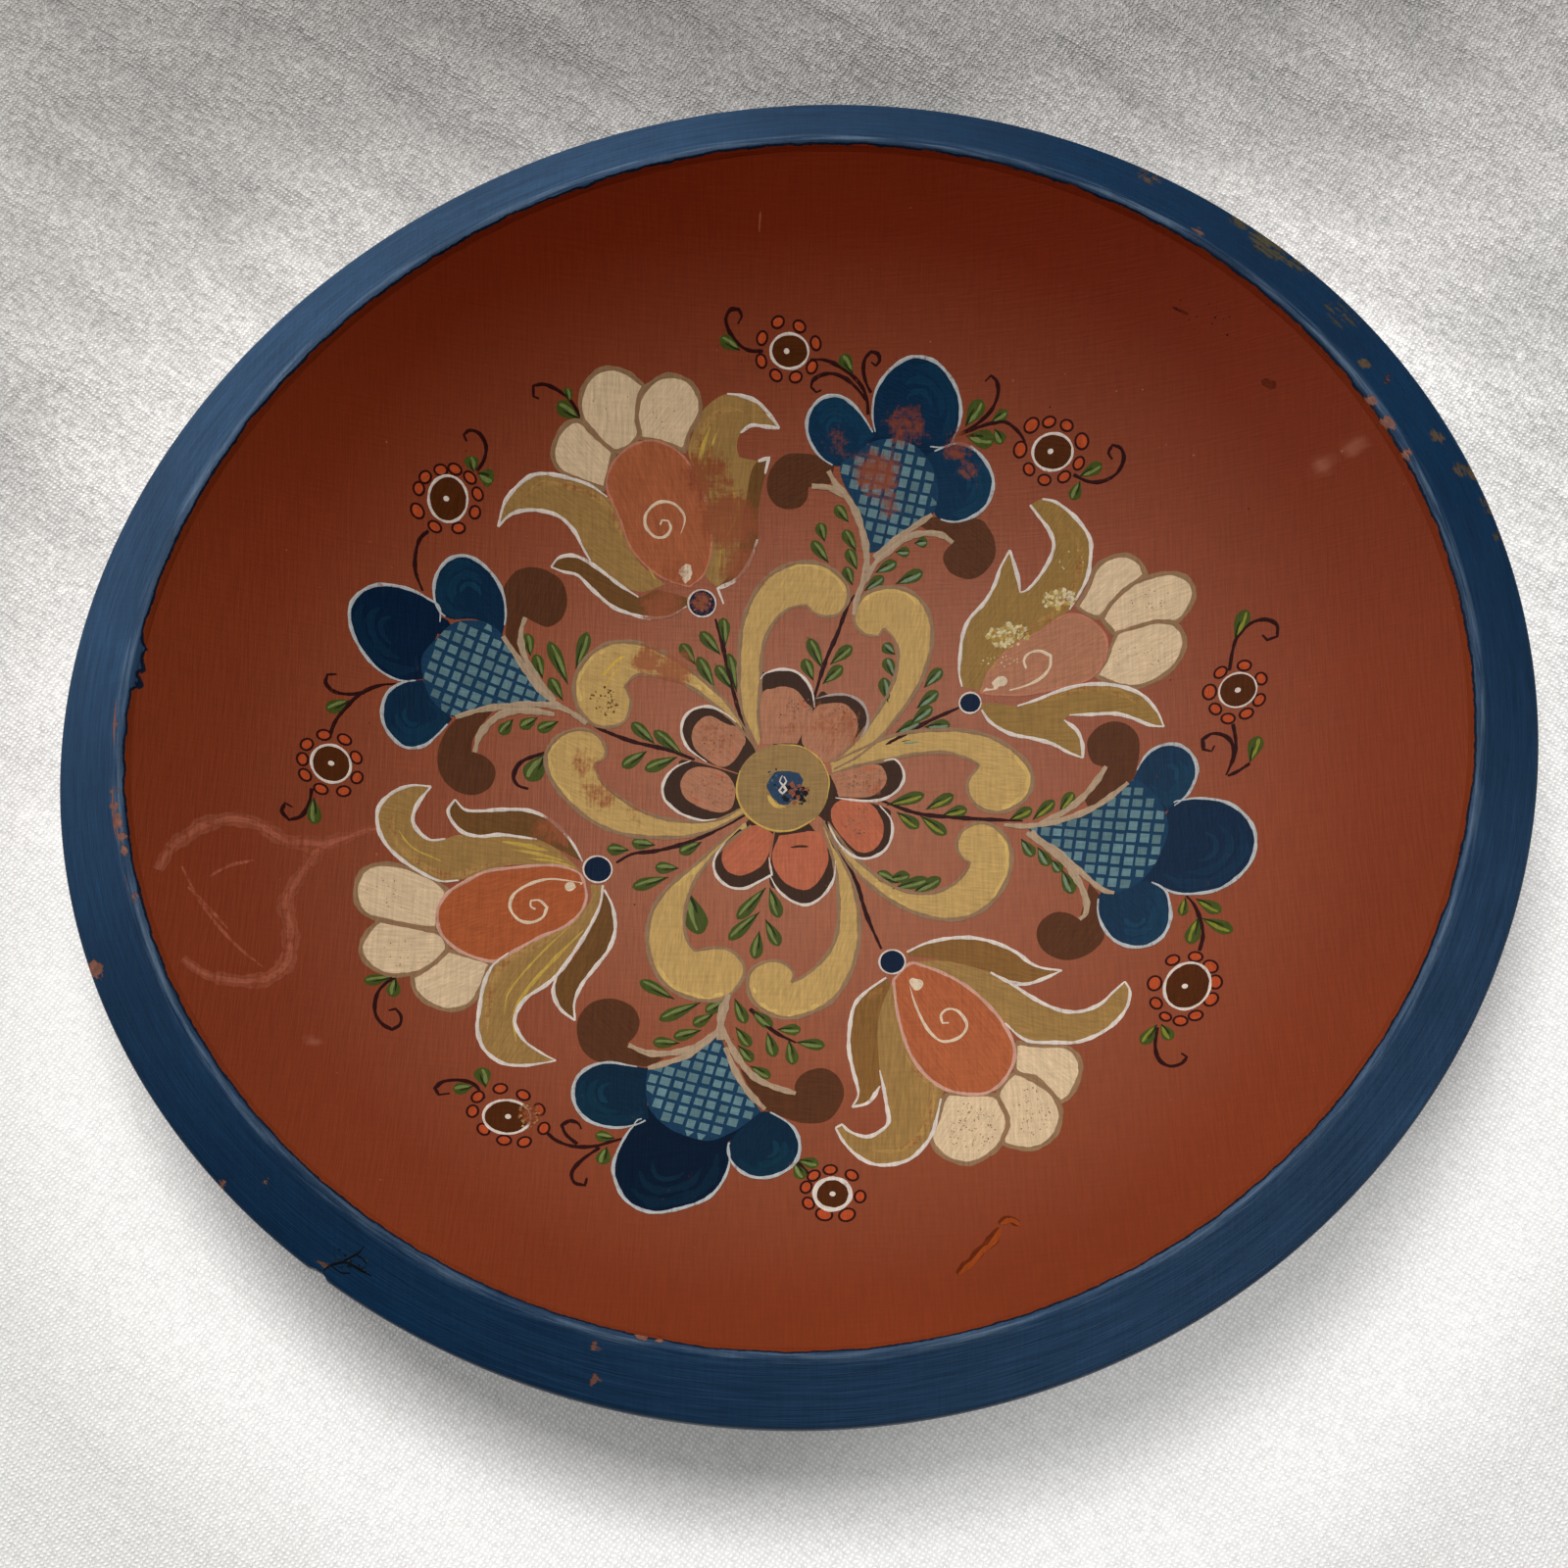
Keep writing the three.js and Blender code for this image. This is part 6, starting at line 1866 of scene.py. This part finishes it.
# The crack from the nick in the rim and its branches, each with its width
CRACKS = [
    ([(-97.4, -120.9), (-95.7, -119.9), (-93.1, -119.5), (-91.5, -120), (-88.6, -121.6),
      (-87.2, -122.4)], 0.55),
    ([(-93.6, -119.5), (-91, -118.4), (-89.6, -117.7), (-88.7, -116.7)], 0.4),
    ([(-90.6, -118.1), (-89, -119), (-88.1, -120.2)], 0.35),
    ([(-95.7, -119.9), (-93.6, -121.4), (-91.6, -121.6)], 0.35),
]


def rim_marks():
    """The crack that runs in from the nick in the rim, and fine bare scratches."""
    m = Motif("marks_on_the_blue_rim", rim_height, "blue_paint")
    for line, width in CRACKS:
        m.line(line, width, CRACK, 1)
    m.flecks((-91.5, -119.5), (4.5, 2), FLECK_NICK, 30, 0.8, 1, -20)
    m.flecks((130.5, 79), (1.8, 0.8), FLECK_RIM, 16, 0.9, 1, 60)
    for line in RIM_SCRATCHES:
        m.line(line, 0.35, RIM_SCRATCH, 1, (0.2, 0.2), 0.03, 0.1)
    return m.paint()


def make_ornament():
    """Everything that is painted on the two coats."""
    rim_marks()
    ground_marks()
    stems_and_sprays()
    for number, (outer, inner) in enumerate(SCROLLS, 1):
        scroll(number, outer, inner)
    rosette()
    tulips()
    bell_flowers()
    daisies()
    tendrils()


# Stage, light and camera

# The canvas: how far below the foot it lies, so that the two don't share a plane, and its reach in metres
CLOTH_GAP = 0.1
CLOTH_REACH = 0.8
CLOTH_STEPS = 200

# Its long folds: how they lie in degrees, how drawn out, how wide in metres and how high in millimetres
FOLDS = [(-34, 3.2, 0.11, 3.2), (62, 2.6, 0.16, 2.2), (12, 1.6, 0.07, 0.9)]
FOLDS_HEIGHT = 4.2

# It is flat this far from the middle, in metres, and has its full folds this much further out
FLAT_RADIUS = 0.085
FLAT_EDGE = 0.06

WEAVE_TURN = math.radians(33)
CREASE_TURN = math.radians(38)
FOLD_TURN = math.radians(24)
# Painted shade and light: the canvas is painted darker at the back and paler at the front
CANVAS_SHADED_BACK = srgb(209, 205, 201)
CANVAS_LIT_FRONT = srgb(239, 238, 236)


def cloth_height(u, v):
    """The canvas under the bowl: long shallow folds, flat where the foot stands."""
    folds = 0
    for turn, stretch, size, depth in FOLDS:
        cosine, sine = math.cos(math.radians(turn)), math.sin(math.radians(turn))
        along, across = (u * cosine + v * sine) / stretch, v * cosine - u * sine
        folds += depth * abs(noise.noise((along / size, across / size, turn))) ** 0.8
    share = min(max((math.hypot(u, v) - FLAT_RADIUS) / FLAT_EDGE, 0), 1)
    return (min((folds - FOLDS_HEIGHT) * share, 0) - CLOTH_GAP) * MM


def woven(n, place):
    """How high the canvas's threads stand, crossing at right angles."""
    slanted = n.rotated(place, WEAVE_TURN)
    threads = []
    for direction in ("X", "Y"):
        wave = n.add("ShaderNodeTexWave", bands_direction=direction, wave_profile="SIN")
        n.link(slanted, wave.inputs["Vector"])
        for name, value in (("Scale", 300), ("Distortion", 4), ("Detail", 3), ("Detail Scale", 1.5)):
            wave.inputs[name].default_value = value
        threads.append(wave.outputs["Fac"])
    return n.plus(n.times(*threads), n.noise(place, 700, 3))


def room_glow(n, place, nearer):
    """How strongly the canvas glows, as painted light in place of the room's light: on the open cloth, and
    under the rim's edge in place of light bounced there.
    """
    right, back, _ = n.split(place)
    away = n.length(place)
    sideways = n.times(n.math("ABSOLUTE", right, 0.0), 0.3)
    outside = n.times(n.ranged(away, 0.17, 0.215, 0.85, 0.42), n.ranged(n.minus(back, sideways), 0.185, 0.1))
    front_right = n.minus(n.times(right, 0.55), n.times(back, 0.835))
    bounced = n.plus(n.ranged(nearer, 0, 1, 0.0, 0.26), n.ranged(front_right, 0.122, 0.148, 0.0, 0.22))
    beside = n.times(n.math("MAXIMUM", right, 0.0), 0.025)
    clear = n.ranged(n.minus(away, beside), 0.154, 0.172)
    under = n.times(bounced, n.minus(1.0, clear))
    return n.plus(under, n.times(outside, clear)), sideways


def canvas_paint():
    """Pale woven canvas, creased behind the bowl and smoother before it, painted darker at the back as
    painted shade, with painted fold shading and a glow of its own as painted light.
    """
    material, tree, shader = principled("canvas")
    n = Nodes(tree)
    place = n.coordinates("Object")
    right, back, _ = n.split(place)
    weave = woven(n, place)
    nearer = n.ranged(n.minus(n.times(right, 0.45), back), -0.26, 0.18)
    glow, sideways = room_glow(n, place, nearer)
    slack = n.ranged(n.plus(back, n.times(sideways, 1.2)), 0.02, 0.16, 0.1, 1.0)

    creased = n.rotated(place, CREASE_TURN)
    crinkle = n.noise(n.stretched(creased, (380, 620, 1)), 1, 4, 0.65)
    creases = n.noise(n.stretched(creased, (22, 64, 1)), 1, 2, 0.5)
    folds = n.noise(n.stretched(n.rotated(place, FOLD_TURN), (5, 17, 1)), 1, 2, 0.5)
    # Painted shade: crinkles, folds, creases and weave darken and lighten the canvas's colour where it lies
    # slack, for the shading of its folds
    shade = n.times(n.ranged(crinkle, 0.4, 0.6, 0.86, 1.16), n.ranged(folds, 0.35, 0.65, 0.95, 1.06))
    shade = n.times(shade, n.ranged(creases, 0.38, 0.62, 0.91, 1.1))
    shade = n.times(shade, n.ranged(weave, 0.4, 1.1, 0.88, 1.12))
    shade = n.plus(n.times(n.minus(shade, 1.0), slack), 1.0)
    tone = n.times(n.ranged(weave, 0.3, 1.2, 0.76, 1.08), shade)
    # Painted shade and light: the colour runs from darker at the back to paler at the front
    colour = n.toned(n.mixed(nearer, CANVAS_SHADED_BACK, CANVAS_LIT_FRONT), tone)
    n.link(colour, shader.inputs["Base Color"])
    # Painted light: the canvas glows in its own colour, to camera, glossy and transmission rays only, in
    # place of room light and of light bounced under the rim
    n.link(colour, shader.inputs["Emission Color"])

    rays = n.add("ShaderNodeLightPath").outputs
    seen = n.plus(n.plus(rays["Is Camera Ray"], rays["Is Glossy Ray"]), rays["Is Transmission Ray"])
    n.link(n.times(glow, seen), shader.inputs["Emission Strength"])
    shader.inputs["Roughness"].default_value = 0.95

    drape = n.plus(n.times(creases, 0.85), n.times(folds, 1.6))
    drape = n.plus(n.times(crinkle, 0.13), drape)
    rough = n.times(weave, n.ranged(slack, 0.1, 1.0, 0.05, 0.11))
    n.bump(n.plus(rough, n.times(n.times(drape, slack), 2.4)), 0.006, shader.inputs["Normal"])
    return material


def stage():
    """A pale canvas laid with folds."""
    places = np.linspace(-CLOTH_REACH, CLOTH_REACH, CLOTH_STEPS + 1)
    vertices = [(u, v, cloth_height(u, v)) for v in places for u in places]
    mesh = bpy.data.meshes.new("canvas")
    mesh.from_pydata(vertices, [], grid_faces(len(places), len(places)))
    mesh.shade_smooth()
    mesh.materials.append(canvas_paint())
    cloth = bpy.data.objects.new("canvas", mesh)
    bpy.context.scene.collection.objects.link(cloth)
    cloth.rotation_euler = (0, 0, -PAINTER_TURN)


def lamp(name, away, height, aside, size, power):
    """A soft round lamp, placed in the painter's plane and aimed at the bowl."""
    data = bpy.data.lights.new(name, "AREA")
    data.shape = "DISK"
    data.size = size
    data.energy = power
    light = bpy.data.objects.new(name, data)
    light.location = (*to_bowl([(aside, away)])[0], height)
    light.rotation_mode = "QUATERNION"
    light.rotation_quaternion = (-light.location).to_track_quat("-Z", "Y")
    bpy.context.scene.collection.objects.link(light)


# The window's light: metres beyond the bowl, up and aside, its size in metres and its power in watts
WINDOW = {"away": 0.44, "height": 1.4, "aside": -0.14, "size": 0.66, "power": 7.4}

# Where the room is brightest, in the painter's plane and up, and its colour
SKY_ASIDE, SKY_AWAY, SKY_UP = -0.4, 0.72, 0.57
SKY_COLOUR = (1, 0.99, 0.975, 1)


def lights():
    """A window behind the bowl, and a room that is bright on that side and dim near the floor."""
    lamp("window", **WINDOW)
    world = bpy.data.worlds.new("room_light")
    world.use_nodes = True
    n = Nodes(world.node_tree)
    background = world.node_tree.nodes["Background"]
    background.inputs["Color"].default_value = SKY_COLOUR
    facing = n.add("ShaderNodeVectorMath", operation="DOT_PRODUCT")
    n.link(n.coordinates("Generated"), facing.inputs[0])
    facing.inputs[1].default_value = (*to_bowl([(SKY_ASIDE, SKY_AWAY)])[0], SKY_UP)
    sky = n.ranged(facing.outputs["Value"], 0.1, 0.85, 0.04, 1.0)
    above_floor = n.ranged(n.split(n.coordinates("Generated"))["Z"], 0.1, 0.5, 0.2, 1.0)
    n.link(n.times(sky, above_floor), background.inputs["Strength"])
    bpy.context.scene.world = world


def camera():
    """The view of the photograph: from the front, tilted and a little rolled."""
    data = bpy.data.cameras.new("photograph_view")
    data.lens = CAMERA_LENS
    data.sensor_width = CAMERA_SENSOR
    data.clip_start = CAMERA_SEES_FROM
    data.clip_end = CAMERA_SEES_TO
    backward = Vector((0, -math.sin(CAMERA_TILT), math.cos(CAMERA_TILT)))
    right = Vector((1, 0, 0))
    up = Vector((0, math.cos(CAMERA_TILT), math.sin(CAMERA_TILT)))
    rolled_right = right * math.cos(CAMERA_ROLL) - up * math.sin(CAMERA_ROLL)
    rolled_up = right * math.sin(CAMERA_ROLL) + up * math.cos(CAMERA_ROLL)
    aim = Vector((CAMERA_ASIDE, CAMERA_NEARER, CAMERA_AIM_HEIGHT))
    facing = Matrix((rolled_right, rolled_up, backward)).transposed().to_4x4()
    standing = Matrix.Translation((backward * CAMERA_DISTANCE + aim) * MM) @ facing
    view = bpy.data.objects.new("photograph_view", data)
    view.matrix_world = Matrix.Rotation(-BOWL_TURN, 4, "Z") @ standing
    bpy.context.scene.collection.objects.link(view)
    bpy.context.scene.camera = view


camera()
stage()
lights()
make_bowl()
make_ornament()

bpy.context.scene.view_settings.view_transform = "Standard"
